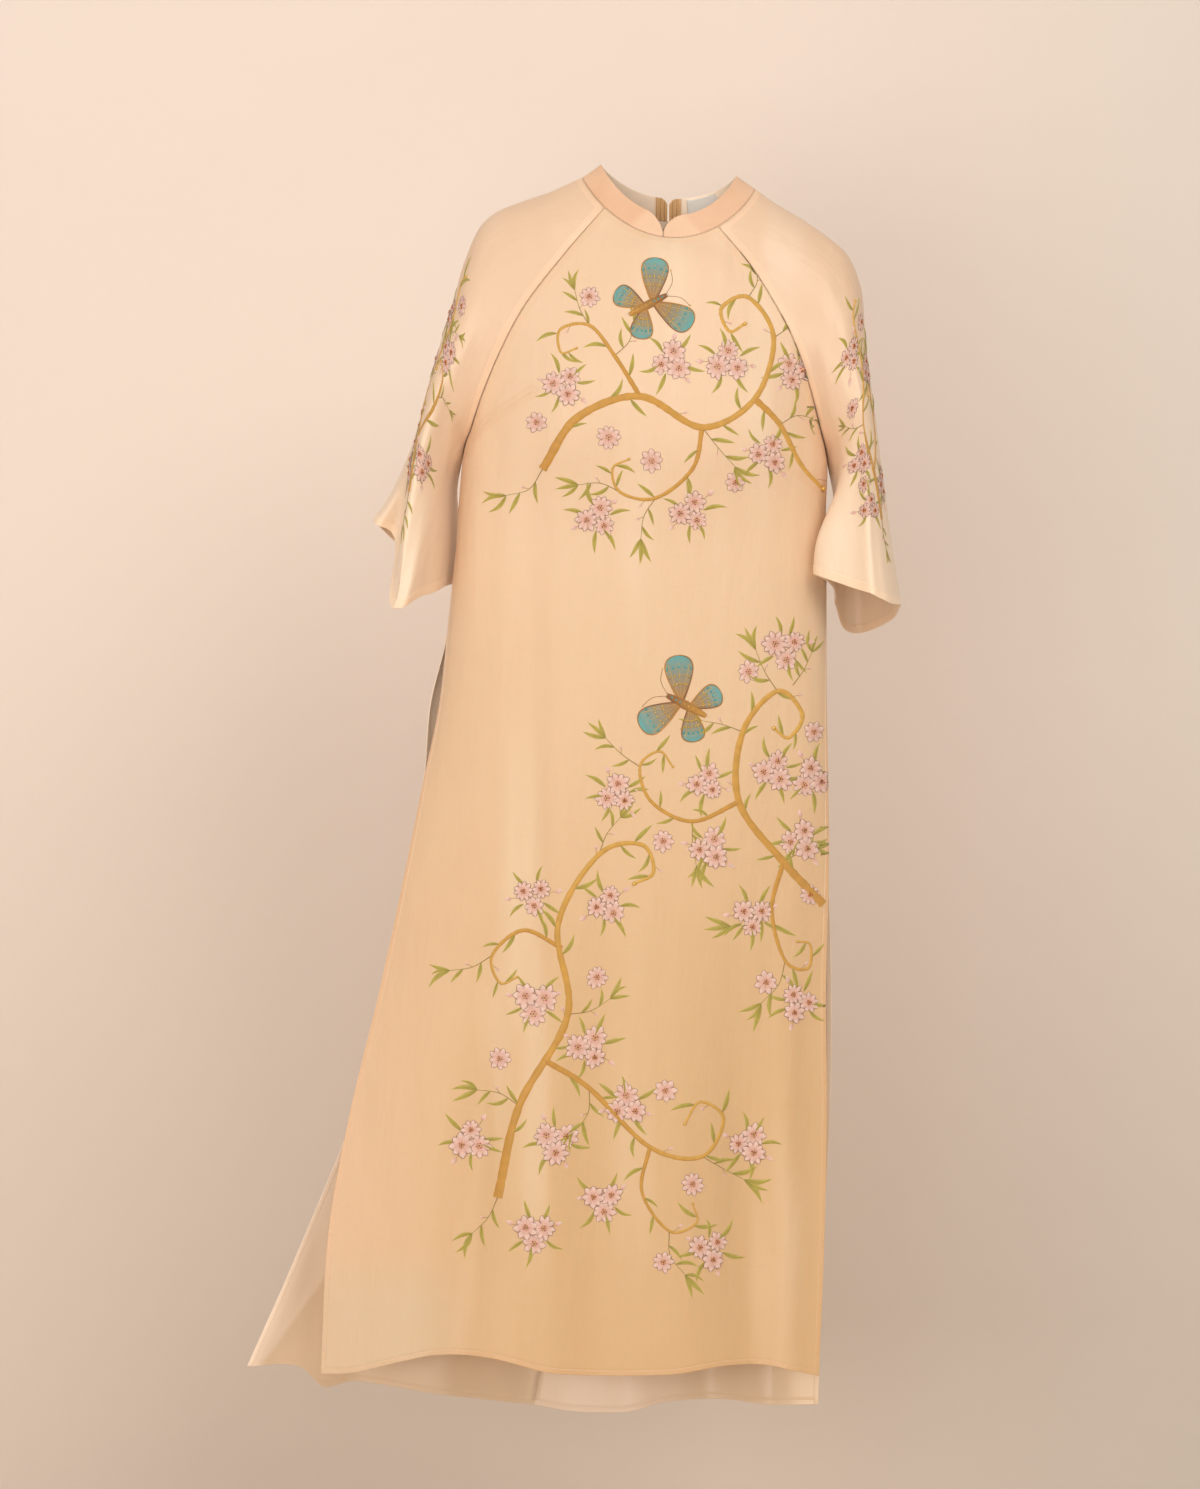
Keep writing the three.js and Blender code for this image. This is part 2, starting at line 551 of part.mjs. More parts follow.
const seat = behindBack(SLIDER.row, 0.5, -SLIDER.off);
const below = behindBack(SLIDER.row + 0.2, 0.5, -SLIDER.off);
const zipHead = new THREE.Group();
zipHead.position.copy(seat);
zipHead.rotation.x = Math.atan2(below.y - seat.y, seat.z - below.z);
const tabPivot = new THREE.Group();
tabPivot.position.set(0, pinY, PIN.up);
tabPivot.rotation.x = -THREE.MathUtils.degToRad(TAB.turn);
zipHead.add(tabPivot);
group.add(zipHead);
addMesh(zipHead, "zip_slider", sliderGeometry(), ZIP_METAL, 0.35, 0.9);
addMesh(tabPivot, "zip_pull", tabGeometry(), ZIP_METAL, 0.35, 0.9);

export default group;
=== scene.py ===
"""Ao dai of peach silk: cloth, hems, stitching, zip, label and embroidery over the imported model.

Tables and profiles are in millimetres, as in the part's source. Everything handed to Blender is in metres.
"""
import math
import random
from bisect import bisect

import bmesh
import bpy
from bpy.props import FloatProperty, FloatVectorProperty, PointerProperty
from mathutils import Matrix, Vector, kdtree, noise
from mathutils.bvhtree import BVHTree


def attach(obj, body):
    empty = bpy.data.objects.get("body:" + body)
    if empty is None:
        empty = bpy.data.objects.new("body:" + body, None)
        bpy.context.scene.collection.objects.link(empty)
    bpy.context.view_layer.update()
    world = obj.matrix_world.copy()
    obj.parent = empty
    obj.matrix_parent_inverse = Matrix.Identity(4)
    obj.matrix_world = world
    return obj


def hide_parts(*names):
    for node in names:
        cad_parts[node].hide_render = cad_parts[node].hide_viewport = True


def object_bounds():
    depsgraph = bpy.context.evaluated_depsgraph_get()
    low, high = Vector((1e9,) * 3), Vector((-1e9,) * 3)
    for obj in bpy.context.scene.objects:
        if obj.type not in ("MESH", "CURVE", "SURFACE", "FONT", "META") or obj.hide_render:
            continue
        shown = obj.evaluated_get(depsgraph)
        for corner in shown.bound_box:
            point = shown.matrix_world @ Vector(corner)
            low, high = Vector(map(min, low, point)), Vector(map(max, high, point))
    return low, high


bl_info = {
    "name": "Ao dai",
    "version": (1, 0, 0),
    "blender": (4, 5, 0),
    "location": "View3D > Sidebar > Ao dai",
    "description": "A long silk tunic with raglan sleeves, side slits and embroidery",
    "category": "Object",
}

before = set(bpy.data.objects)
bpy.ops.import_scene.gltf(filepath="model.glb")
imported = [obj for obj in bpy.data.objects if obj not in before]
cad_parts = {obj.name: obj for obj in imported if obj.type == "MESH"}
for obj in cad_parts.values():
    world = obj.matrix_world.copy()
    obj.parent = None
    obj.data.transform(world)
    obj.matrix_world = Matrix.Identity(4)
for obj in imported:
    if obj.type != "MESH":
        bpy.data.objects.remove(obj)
CAD_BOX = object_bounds()

MM = 0.001
BODY = "garment"
BODY_ROWS = 16  # last level of the panels' tables, at the hem; level 0 is the neck seam
UNDERARM = 6  # level where the raglan seams end
SLIT = 8  # level where the side seams end
CUFF = 9  # level of the sleeve's hem
NECK_BLEND = 1.5  # levels over which the panels take up the curve of the neck seam


# ---------------------------------------------------------------- small maths
def mix(a, b, share):
    return a + (b - a) * share


def clamp01(value):
    return max(0.0, min(1.0, value))


def ease(value):
    value = clamp01(value)
    return value * value * (3 - 2 * value)


def bell(value):
    return math.exp(-value * value)


def spread(start, end, steps):
    return [mix(start, end, k / steps) for k in range(steps + 1)]


def along(rows, at):
    """Smooth curve through the rows of a table, whose first column is where the row stands."""
    k = 0
    while k < len(rows) - 2 and at > rows[k + 1][0]:
        k += 1
    low, high = rows[k], rows[k + 1]
    before, after = rows[max(k - 1, 0)], rows[min(k + 2, len(rows) - 1)]
    span = high[0] - low[0]
    u = (at - low[0]) / span
    scale_low = span / (high[0] - before[0])
    scale_high = span / (after[0] - low[0])
    values = []
    for value, end, previous, following in zip(low[1:], high[1:], before[1:], after[1:]):
        slope_low = (end - previous) * scale_low
        slope_high = (following - value) * scale_high
        rise = end - value
        bend = 3 * rise - 2 * slope_low - slope_high
        values.append(value + u * (slope_low + u * (bend + u * (slope_low + slope_high - 2 * rise))))
    return values


# ---------------------------------------------------------------- neck seam and collar, in millimetres
NECK_X = -1.5
NECK_HALF_WIDTH = 89.5
NECK_HALF_DEPTH = 42
NECK_SIDE_HEIGHT = 23
NECK_TILT = 0.067
NECK_FRONT_DIP = 60
NECK_BACK_DIP = 36
NECK_DIP_POWER = 1.6
# Raglan seams and the collar's two gaps, in degrees round the neck from its right side
FRONT_LEFT, FRONT_RIGHT = 137.7, 55.7
BACK_LEFT, BACK_RIGHT = 222, 318
NOTCH, BACK_MIDDLE = 94, 270
COLLAR_HEIGHT = 24
COLLAR_LEAN = 0.82  # inwards at the sides
COLLAR_TIP = 0.22  # outwards at the front and the back
COLLAR_RISE = 0.57  # at the sides, next to 1 at the front and the back
COLLAR_LEAST = 3
COLLAR_FRONT_ROUND = 22
COLLAR_BACK_ROUND = 9
COLLAR_BACK_SHARE = 0.5  # the back ends are rounded off over this part of the height only


def neck_point(degrees):
    turn = math.radians(degrees)
    dip = NECK_FRONT_DIP if math.sin(turn) > 0 else NECK_BACK_DIP
    across = NECK_HALF_WIDTH * math.cos(turn)
    fall = dip * abs(math.sin(turn)) ** NECK_DIP_POWER
    height = NECK_SIDE_HEIGHT - NECK_TILT * across - fall
    return Vector((NECK_X + across, -NECK_HALF_DEPTH * math.sin(turn), height))


def collar_height(degrees):
    point = neck_point(degrees)
    front = 1 - clamp01(1 - (point - neck_point(NOTCH)).length / COLLAR_FRONT_ROUND) ** 2
    back = 1 - clamp01(1 - (point - neck_point(BACK_MIDDLE)).length / COLLAR_BACK_ROUND) ** 2
    full = min(math.sqrt(front), mix(COLLAR_BACK_SHARE, 1, math.sqrt(back)))
    return max(COLLAR_LEAST, COLLAR_HEIGHT * full)


def collar_point(degrees, part):
    turn = math.radians(degrees)
    across, out = math.cos(turn), math.sin(turn)
    rise = COLLAR_RISE + (1 - COLLAR_RISE) * abs(out)
    lean = Vector((-COLLAR_LEAN * across * math.sqrt(abs(across)), COLLAR_TIP * out, rise)).normalized()
    return neck_point(degrees) + lean * (part * collar_height(degrees))


# ---------------------------------------------------------------- front and back panels
BUST_OUT, BUST_WIDE, BUST_HIGH = 11, 58, 62
BUST_PLACES = ((-112, -222), (74, -240))
FOLD_RISE = 420  # a fold grows to its full depth over this height
EDGE_FADE = 10  # folds and bust fade out over the outer ninth of the width
HEM_BLEND = 1.5  # levels over which the panels take up the curve of the hem
CURL_FROM, CURL_WIDTH, CURL_OUT = 13.6, 0.055, 20  # the back's left edge curls out below this level


class Panel:
    """Front or back. A level is a row number down the table, and t runs from the left edge to the right.

    Each row holds the left edge x z, the right edge x z, the depth of the edges, the depth of the middle, and
    how far the edges turn to the side. Each fold holds x at its top and at the hem, the height of its top, its
    half width and its depth.
    """

    def __init__(self, rows, first, last, side, folds, hem):
        left, right = neck_point(first), neck_point(last)
        neck_row = (0, left.x, left.z, right.x, right.z, left.y, side * NECK_HALF_DEPTH, 0.25)
        self.table = (neck_row,) + rows
        self.first, self.last, self.side = first, last, side
        self.folds, self.hem = folds, hem

    def plain(self, row, t):
        x_left, z_left, x_right, z_right, edge, middle, turn = along(self.table, row)
        across = mix(t, (1 - math.cos(math.pi * t)) / 2, turn)
        swell = max(0.0, math.sin(math.pi * clamp01(t))) ** (1.4 - 0.6 * turn)
        clear = self.side * max(0.0, self.side * edge)
        depth = mix(clear, middle, swell)
        return Vector((mix(x_left, x_right, across), depth, mix(z_left, z_right, across)))

    def point(self, row, t):
        point = self.plain(row, t)
        on_neck = clamp01(1 - row / NECK_BLEND) ** 2
        if on_neck > 0:
            point += (neck_point(mix(self.first, self.last, t)) - self.plain(0, t)) * on_neck
        within = clamp01(EDGE_FADE * t * (1 - t))
        hem_z = self.table[BODY_ROWS][2]
        for x_top, x_hem, top, half, sink in self.folds:
            if point.z >= top:
                continue
            down = clamp01((top - point.z) / (top - hem_z))
            grown = ease((top - point.z) / FOLD_RISE)
            point.y -= self.side * sink * within * grown * bell((point.x - mix(x_top, x_hem, down)) / half)
        if self.side < 0:
            for x, z in BUST_PLACES:
                swell = bell((point.x - x) / BUST_WIDE) * bell((point.z - z) / BUST_HIGH)
                point.y -= BUST_OUT * within * swell
        elif row > CURL_FROM:
            point.y -= CURL_OUT * bell(t / CURL_WIDTH) * ((row - CURL_FROM) / (BODY_ROWS - CURL_FROM)) ** 2
        near_hem = ease((row - BODY_ROWS + HEM_BLEND) / HEM_BLEND) ** 2
        if near_hem > 0:
            point.z += along(self.hem, t)[0] * near_hem
        return point


FRONT = Panel((
    (1, -109.5, -54, 84, -68, -42, -58, 0.25),
    (2, -150, -107, 114.5, -118.5, -48, -70, 0.3),
    (3, -176, -155, 130, -151, -45, -79, 0.45),
    (4, -195, -200, 143.5, -190, -36, -84, 0.6),
    (5, -206, -232, 154.5, -231, -21, -85, 0.8),
    (6, -215, -259, 163, -267, 0, -83, 1),
    (7, -220, -312, 162, -315, 0, -76, 1),
    (8, -223, -362, 162, -362, 0, -71, 1),
    (9, -231, -440, 162, -440, -10, -71, 0.9),
    (10, -240, -520, 162, -520, -17, -74, 0.8),
    (11, -256, -600, 163, -600, -23, -77, 0.7),
    (12, -276, -700, 163, -700, -29, -80, 0.6),
    (13, -302, -820, 160, -820, -35, -82, 0.5),
    (14, -331, -940, 161, -940, -41, -84, 0.45),
    (15, -353, -1065, 158.5, -1070, -46, -85, 0.4),
    (16, -361, -1210, 152.5, -1212, -50, -86, 0.35),
), FRONT_LEFT, FRONT_RIGHT, -1, (
    (-168, -222, -600, 26, 9), (-112, -150, -660, 28, -6), (-60, -78, -520, 26, 5), (4, 12, -640, 30, -6),
    (62, 84, -700, 24, 8), (118, 126, -560, 18, -5), (-142, -146, -96, 16, 4),
), (
    (0, 0), (0.09, 2), (0.2, 15), (0.27, 22), (0.37, 20), (0.48, 5), (0.66, 4), (0.77, 12), (0.86, 12),
    (0.94, 5), (1, 0),
))
BACK = Panel((
    (1, -112, -40, 74, -52, 44, 53, 0.25),
    (2, -149, -94, 114, -104, 51, 62, 0.3),
    (3, -174, -146, 132, -143, 47, 67, 0.45),
    (4, -192.5, -194, 144, -186, 37, 69, 0.6),
    (5, -206, -232, 154.5, -231, 21, 68, 0.8),
    (6, -215, -259, 163, -267, 0, 65, 1),
    (7, -220, -312, 162, -315, 0, 58, 1),
    (8, -223, -362, 162, -362, 0, 54, 1),
    (9, -231, -440, 162, -440, 10, 57, 0.9),
    (10, -250, -520, 163, -520, 17, 61, 0.8),
    (11, -257, -597, 164, -600, 22, 63, 0.7),
    (12, -273, -695, 166, -700, 27, 63, 0.6),
    (13, -300, -820, 169, -820, 31, 62, 0.5),
    (14, -330, -945, 167.5, -945, 33, 60, 0.45),
    (15, -386, -1085, 160, -1080, 30, 58, 0.4),
    (16, -440, -1208, 155, -1250, 24, 57, 0.35),
), BACK_LEFT, BACK_RIGHT, 1, (
    (-150, -330, -420, 30, -12), (-104, -236, -460, 34, 10), (-52, -140, -430, 30, -9),
    (6, -40, -420, 30, 9), (58, 44, -460, 26, -11), (112, 104, -480, 22, 9),
), (
    (0, 0), (0.12, 0), (0.165, -20), (0.22, -13), (0.35, -19), (0.5, -26), (0.56, -29), (0.64, -24),
    (0.7, -11), (0.8, -4), (0.88, -4), (0.95, -2), (1, 0),
))


# ---------------------------------------------------------------- sleeves
OVER_DEPTH = 2  # the line over the arm lies just behind the side seam
CIRCLE = 0.5523  # Bezier handle of a quarter circle
BULGE = 4 / 3  # Bezier handles that give a half section its full depth
BACK_LEAN = 0.1
CUFF_BLEND_FROM = 0.5  # levels below the underarm where the cuff's slant begins


class Sleeve:
    """Raglan sleeve. Levels down to UNDERARM are open and end on the raglan seams; from there they are rings."""

    def __init__(self, panel_edge, neck, over, under, shape, drop, folds):
        top = neck_point(neck[0])
        self.panel_edge, self.neck = panel_edge, neck
        self.over = ((0, top.x, top.z),) + over
        self.under, self.shape, self.drop, self.folds = under, shape, drop, folds

    def section(self, row, t):
        front = t < 0.5
        side = -1 if front else 1
        over_x, over_z = along(self.over, row)
        over = Vector((over_x, OVER_DEPTH * clamp01(row), over_z))
        if row <= UNDERARM:
            seam = (FRONT if front else BACK).point(row, self.panel_edge)
        else:
            seam = Vector(along(self.under, row))
        front_depth, back_depth, slant = along(self.shape, row)
        bulge = side * BULGE * (front_depth if front else back_depth)
        closed = clamp01(row / UNDERARM) ** 3
        lean = slant if front else mix(CIRCLE, BACK_LEAN, closed)
        near_seam = Vector((mix(seam.x, over.x, lean), seam.y + bulge, mix(seam.z, over.z, lean)))
        near_over = over + Vector((0, CIRCLE * (1 - closed) * (seam.y - over.y) + bulge, 0))
        u = 2 * t if front else 2 - 2 * t
        v = 1 - u
        return seam * v ** 3 + near_seam * (3 * u * v * v) + near_over * (3 * u * u * v) + over * u ** 3

    def point(self, row, t):
        point = self.section(row, t)
        on_neck = clamp01(1 - row / NECK_BLEND) ** 2
        if on_neck > 0:
            middle, first, last = self.neck
            angle = mix(first, middle, 2 * t) if t < 0.5 else mix(middle, last, 2 * t - 1)
            point += (neck_point(angle) - self.section(0, t)) * on_neck
        for at_top, at_cuff, half, push_x, push_y, start in self.folds:
            down = clamp01((row - start) / (CUFF - start))
            grown = ease(down) * bell((t - mix(at_top, at_cuff, down)) / half)
            point.x += push_x * grown
            point.y += push_y * grown
        slant_from = UNDERARM + CUFF_BLEND_FROM
        near_cuff = ease((row - slant_from) / (CUFF - slant_from)) ** 1.5
        point.z -= along(self.drop, t)[0] * near_cuff
        return point


SLEEVE_TOP = (
    (0, 0, 0, 0.55), (1, 0, 0, 0.55), (2, 2, 2, 0.55), (3, 12, 10, 0.55), (4, 30, 26, 0.55),
    (5, 50, 44, 0.6),
)
SLEEVE_LEFT = Sleeve(0, (180, FRONT_LEFT, BACK_LEFT), (
    (1, -140, 8), (2, -190, -14), (3, -212, -57), (4, -225, -105), (5, -239, -147), (6, -252, -190),
    (7, -266, -244), (8, -285, -290), (9, -308, -327),
), (
    (6, -215, 0, -259), (7, -222, 24, -298), (8, -217, 40, -342), (9, -212, 50, -386),
), SLEEVE_TOP + (
    (6, 74, 60, 0.6), (7, 94, 60, 0.62), (8, 110, 58, 0.62), (9, 118, 56, 0.62),
), (
    (0, 3), (0.05, 19), (0.1, 37), (0.15, 52), (0.2, 70), (0.25, 78), (0.3, 83), (0.34, 84), (0.36, 72),
    (0.41, 16), (0.45, 6), (0.5, 0), (0.75, 12), (1, 3),
), ((0.405, 0.405, 0.035, 18, 40, 7.2), (0.33, 0.33, 0.05, 9, 0, 7.8), (0.1, 0.2, 0.05, 0, -14, 6.3)))
SLEEVE_RIGHT = Sleeve(1, (0, FRONT_RIGHT, BACK_RIGHT - 360), (
    (1, 132, -12), (2, 178, -45), (3, 197, -84), (4, 202, -128), (5, 205, -166), (6, 211, -215),
    (7, 219, -278), (8, 228, -350), (9, 239, -418),
), (
    (6, 163, 0, -267), (7, 171, 16, -308), (8, 172, 32, -356), (9, 173, 45, -412),
), SLEEVE_TOP + (
    (6, 74, 60, 0.55), (7, 92, 62, 0.35), (8, 104, 64, 0.1), (9, 112, 66, 0),
), (
    (0, 0), (0.13, -28), (0.22, -12), (0.35, -2), (0.5, 0), (0.62, 14), (0.78, 28), (0.88, 26), (0.95, 8),
    (1, 0),
), ((0.13, 0.14, 0.06, -38, 0, 5.6), (0.25, 0.25, 0.035, 0, -7, 4)))


# ---------------------------------------------------------------- sizes and colours that can be changed
def length(name, description, millimetres):
    return FloatProperty(name=name, description=description, default=millimetres * MM, unit="LENGTH")


def colour(name, description, rgb):
    return FloatVectorProperty(name=name, description=description, default=rgb, subtype="COLOR", size=3)


class ClothSizes(bpy.types.PropertyGroup):
    """Thicknesses, hem widths and stitches"""

    wall: length("Cloth", "Thickness of silk and organza together", 0.9)
    collar_wall: length("Collar", "Thickness of the interfaced collar", 1.6)
    slit_hem: length("Slit hem", "Width of the hems along the slits", 5)
    lower_hem: length("Lower hem", "Width of the hems of the front and the back", 5)
    cuff_hem: length("Cuff hem", "Width of the sleeves' hems", 9)
    hem_wall: length("Hem", "Thickness of a turned hem", 1.5)
    crease: length("Creases", "Height of the small uneven creases", 1.5)
    sleeve_fold: length("Sleeve folds", "Height of the soft folds down the sleeves", 3)
    stitch: length("Stitch", "Length of one machine stitch with its gap", 3.2)
    thread: length("Thread", "Thickness of the sewing thread", 0.42)


class ClothColours(bpy.types.PropertyGroup):
    """Colours of the cloth, the thread and the zip"""

    silk_top: colour("Silk, upper", "Peach of the chest", (0.82, 0.565, 0.385))
    # partly the cloth's own deeper tan, partly painted shade where less light falls low down
    silk_low_and_shade: colour("Silk, lower", "Deeper tan towards the hem", (0.69, 0.445, 0.235))
    silk_pink: colour("Silk, left", "Pinker cloth towards the left edge", (0.84, 0.575, 0.41))
    overlay: colour("Overlay", "Low corner where the sheer layer hangs past the satin", (0.66, 0.51, 0.34))
    satin: colour("Satin side", "Pale shiny inside of the cloth", (0.93, 0.75, 0.58))
    sheer: colour("Sheer silk", "Shoulders", (0.85, 0.61, 0.425))
    # painted light: paler lower sleeves that make up for the shade on their lower faces
    sheer_low_painted_light: colour("Sheer silk, lower", "Paler lower half of the sleeves", (0.95, 0.75, 0.56))
    collar: colour("Collar", "Interfaced collar", (0.74, 0.46, 0.29))
    facing: colour("Neck facing", "Gathered facing at the top of the zip", (0.84, 0.50, 0.23))
    thread: colour("Sewing thread", "Thread of hems and seams", (0.86, 0.60, 0.40))
    label: colour("Label", "Woven label with nothing on it", (0.82, 0.78, 0.72))
    tape: colour("Zip tape", "Woven tape of the zip", (0.72, 0.55, 0.40))
    coil: colour("Zip coil", "Nylon coil of the zip", (0.60, 0.36, 0.20))
    metal: colour("Zip metal", "Slider and pull", (0.62, 0.56, 0.50))


class StageSizes(bpy.types.PropertyGroup):
    """Camera, backdrop, floor and the colours of the lights"""

    distance: FloatProperty(name="Distance", description="From camera to garment", default=6, unit="LENGTH")
    view_height: FloatProperty(
        name="View height", description="Height of the view at the garment", default=1.549, unit="LENGTH")
    wall_behind: FloatProperty(
        name="Backdrop", description="How far the backdrop stands behind", default=0.7, unit="LENGTH")
    backdrop: colour("Backdrop", "Plain pale backdrop", (0.85, 0.745, 0.665))
    floor: colour("Floor", "Plain pale floor", (0.78, 0.68, 0.60))
    warm: colour("Warm light", "Light from the upper right, low down and behind", (1.0, 0.94, 0.87))
    cool: colour("Soft light", "Light from the left", (1.0, 0.95, 0.90))


def cloth_sizes():
    return bpy.context.scene.aodai_sizes


def colours():
    return bpy.context.scene.aodai_colours


# ---------------------------------------------------------------- finishes
class Wire:
    """One output of a node. Sums, differences and products of wires and numbers add their Math nodes."""

    def __init__(self, finish, socket):
        self.finish = finish
        self.socket = socket

    def maths(self, operation, *values):
        return self.finish.node("ShaderNodeMath", {"operation": operation}, dict(enumerate(values)))

    def __add__(self, other):
        return self.maths("ADD", self, other)

    __radd__ = __add__

    def __sub__(self, other):
        return self.maths("SUBTRACT", self, other)

    def __rsub__(self, other):
        return self.maths("SUBTRACT", other, self)

    def __mul__(self, other):
        return self.maths("MULTIPLY", self, other)

    __rmul__ = __mul__

    def sine(self):
        return self.maths("SINE", self)

    def size(self):
        return self.maths("ABSOLUTE", self)


class Finish:
    """A material and its node tree."""

    def __init__(self, name):
        self.material = bpy.data.materials.new(name)
        self.material.use_nodes = True
        self.tree = self.material.node_tree
        self.shader = self.tree.nodes["Principled BSDF"]

    def node(self, kind, settings=None, sockets=None, output=0):
        node = self.tree.nodes.new(kind)
        for name, value in (settings or {}).items():
            setattr(node, name, value)
        for name, value in (sockets or {}).items():
            self.put(node.inputs[name], value)
        return Wire(self, node.outputs[output])

    def put(self, socket, value):
        if isinstance(value, Wire):
            self.tree.links.new(value.socket, socket)
        else:
            is_colour = socket.type == "RGBA"
            socket.default_value = (*value, 1) if is_colour else value

    def shade(self, **sockets):
        for name, value in sockets.items():
            self.put(self.shader.inputs[name.replace("_", " ")], value)
        return self.material

    def place(self):
        return self.node("ShaderNodeTexCoord", output="Object")

    def weave_place(self):
        return self.node("ShaderNodeUVMap", {"uv_map": "weave"})

    def part(self, vector, axis):
        return self.node("ShaderNodeSeparateXYZ", None, {0: vector}, output=axis)

    def stretch(self, vector, scale):
        return self.node("ShaderNodeMapping", None, {"Vector": vector, "Scale": scale})

    def clouds(self, vector, scale, detail):
        return self.node("ShaderNodeTexNoise", None, {"Vector": vector, "Scale": scale, "Detail": detail})

    def blend(self, share, first, second):
        return self.node("ShaderNodeMix", {"data_type": "RGBA"}, {0: share, 6: first, 7: second}, output=2)

    def tint(self, base, share, shade):
        return self.node("ShaderNodeMix", {"data_type": "RGBA", "blend_type": "MULTIPLY"},
                         {0: share, 6: base, 7: shade}, output=2)

    def window(self, value, low, high):
        """0 below low, 1 above high, smooth between."""
        return self.node("ShaderNodeMapRange", {"interpolation_type": "SMOOTHSTEP"},
                         {"Value": value, "From Min": low, "From Max": high})

    def attribute(self, name, output="Fac"):
        return self.node("ShaderNodeAttribute", {"attribute_name": name}, output=output)

    def bump(self, height, distance, under=None):
        sockets = {"Strength": 1.0, "Distance": distance, "Height": height}
        if under is not None:
            sockets["Normal"] = under
        return self.node("ShaderNodeBump", None, sockets)

    def ripple(self, distance, pitch):
        """Wave from -1 to 1 along a distance, pitch in metres."""
        return (distance * (2 * math.pi / pitch)).sine()

    def weave(self, pitch):
        """Plain weave of crossing threads, 0 to 1, pitch in metres."""
        place = self.weave_place()
        return self.ripple(self.part(place, "X"), pitch) * self.ripple(self.part(place, "Y"), pitch) * 0.5 + 0.5

    def puckers(self, scale, detail):
        """Uneven ripples that follow the cloth, scale across and down."""
        return self.clouds(self.stretch(self.weave_place(), (*scale, 1)), 1, detail)


# Where a finish changes, in metres: the values between which the change runs
SHEER_PAINTED_LIGHT = (-0.36, -0.1)  # height; painted light, the lower sleeves made paler to offset their shade
SHEER_CLOSES = (-0.05, -0.3)  # height
SILK_TAN_AND_SHADE = (-1.0, -0.15)  # height; deeper below, partly the cloth's own tan and partly painted shade
PINK_SIDE, PINK_HEIGHT = (-0.12, -0.42), (0, -0.5)
LOOSE_CORNER_SIDE, LOOSE_CORNER_HEIGHT = (-0.19, -0.26), (-1.06, -1.15)
ALLOWANCE_EDGE = (0.0072, 0.0085)  # from the seam
SEAM_CREASE = (0.0002, 0.0011)  # from the seam, for the groove's bump and its painted shade
COLLAR_CREASE = (0.0002, 0.0014)  # from the seam, for the painted shade of the neck seam's crease
TAIL_SLOPE = 0.725  # of the folded-back edge of the tail, which stands out from the satin beside it
TAIL_EDGE, TAIL_HEIGHT = (0.446, 0.454), (-0.9, -1.05)
PAINTED_HIGHLIGHT_AT, PAINTED_HIGHLIGHT_SPAN = -0.065, (0.03, 0.11)  # where a painted highlight leaves the satin pale under the hem of the front
GATHERED, GATHERED_DEPTH, GATHER_PITCH = (0.011, 0.016), (0, 0.01), 0.0042  # strips of the neck facing
WALL_PAINTED_SHADE_HEIGHT, WALL_PAINTED_SHADE_SIDE = (-0.3, -1.5), (0, 0.9)  # height, side of the painted shade on the backdrop and floor


def silk_body(finish, sheer=False):
    """Peach of the overlaid silk, deeper below (partly the cloth's tone, partly painted shade) and pinker to the
    left, or paler below as painted light where sheer, with painted sheen bands, slubs, seam allowances and
    painted shade in the seam creases.
    """
    tones = colours()
    place = finish.place()
    height = finish.part(place, "Z")
    if sheer:
        # painted light: sheer silk paler lower down, to offset the shade there
        base = finish.blend(finish.window(height, *SHEER_PAINTED_LIGHT), tones.sheer_low_painted_light, tones.sheer)
    else:
        side = finish.part(place, "X")
        # deeper below: partly the cloth's tone, partly painted shade of the light falling off downwards
        base = finish.blend(finish.window(height, *SILK_TAN_AND_SHADE), tones.silk_low_and_shade, tones.silk_top)
        left = finish.window(side, *PINK_SIDE) * finish.window(height, *PINK_HEIGHT)
        base = finish.blend(left * 0.55, base, tones.silk_pink)
        corner = finish.window(side, *LOOSE_CORNER_SIDE) * finish.window(height, *LOOSE_CORNER_HEIGHT)
        base = finish.blend(corner * 0.6, base, tones.overlay)
    # painted sheen: soft lighter vertical bands blended towards the pale satin colour
    painted_sheen = finish.clouds(finish.stretch(place, (13, 5, 1.6)), 1, 2)
    base = finish.blend(finish.window(painted_sheen, 0.5, 0.72) * 0.3, base, tones.satin)
    mottle = finish.clouds(place, 7, 3)
    base = finish.tint(base, finish.window(mottle, 0.45, 0.8) * 0.25, (0.93, 0.88, 0.82))
    slub = finish.puckers((12, 420), 1)
    base = finish.tint(base, finish.window(slub, 0.55, 0.8) * 0.12, (0.9, 0.84, 0.78))
    seam = finish.attribute("seam")
    allowance = 1 - finish.window(seam, *ALLOWANCE_EDGE)
    base = finish.tint(base, allowance * 0.35, (0.95, 0.89, 0.82))
    crease = 1 - finish.window(seam, *SEAM_CREASE)
    # painted shade: the seam's groove darkened
    base = finish.tint(base, crease * 0.35, (0.82, 0.67, 0.54))
    relief = finish.bump(crease * -1 + allowance * 0.3, 0.0003)
    relief = finish.bump(finish.weave(0.0007), 0.00002, relief)
    relief = finish.bump(finish.puckers((60, 14), 3), 0.0012, relief)
    return base, mottle, allowance, relief


def silk_finish():
    finish = Finish("silk satin under organza")
    base, mottle, _, relief = silk_body(finish)
    return finish.shade(Base_Color=base, Roughness=0.42 + mottle * 0.16, Normal=relief, Sheen_Weight=0.35,
                        Sheen_Roughness=0.35, Sheen_Tint=(1.0, 0.88, 0.74), Specular_IOR_Level=0.4,
                        Subsurface_Weight=0.12, Subsurface_Scale=0.01)


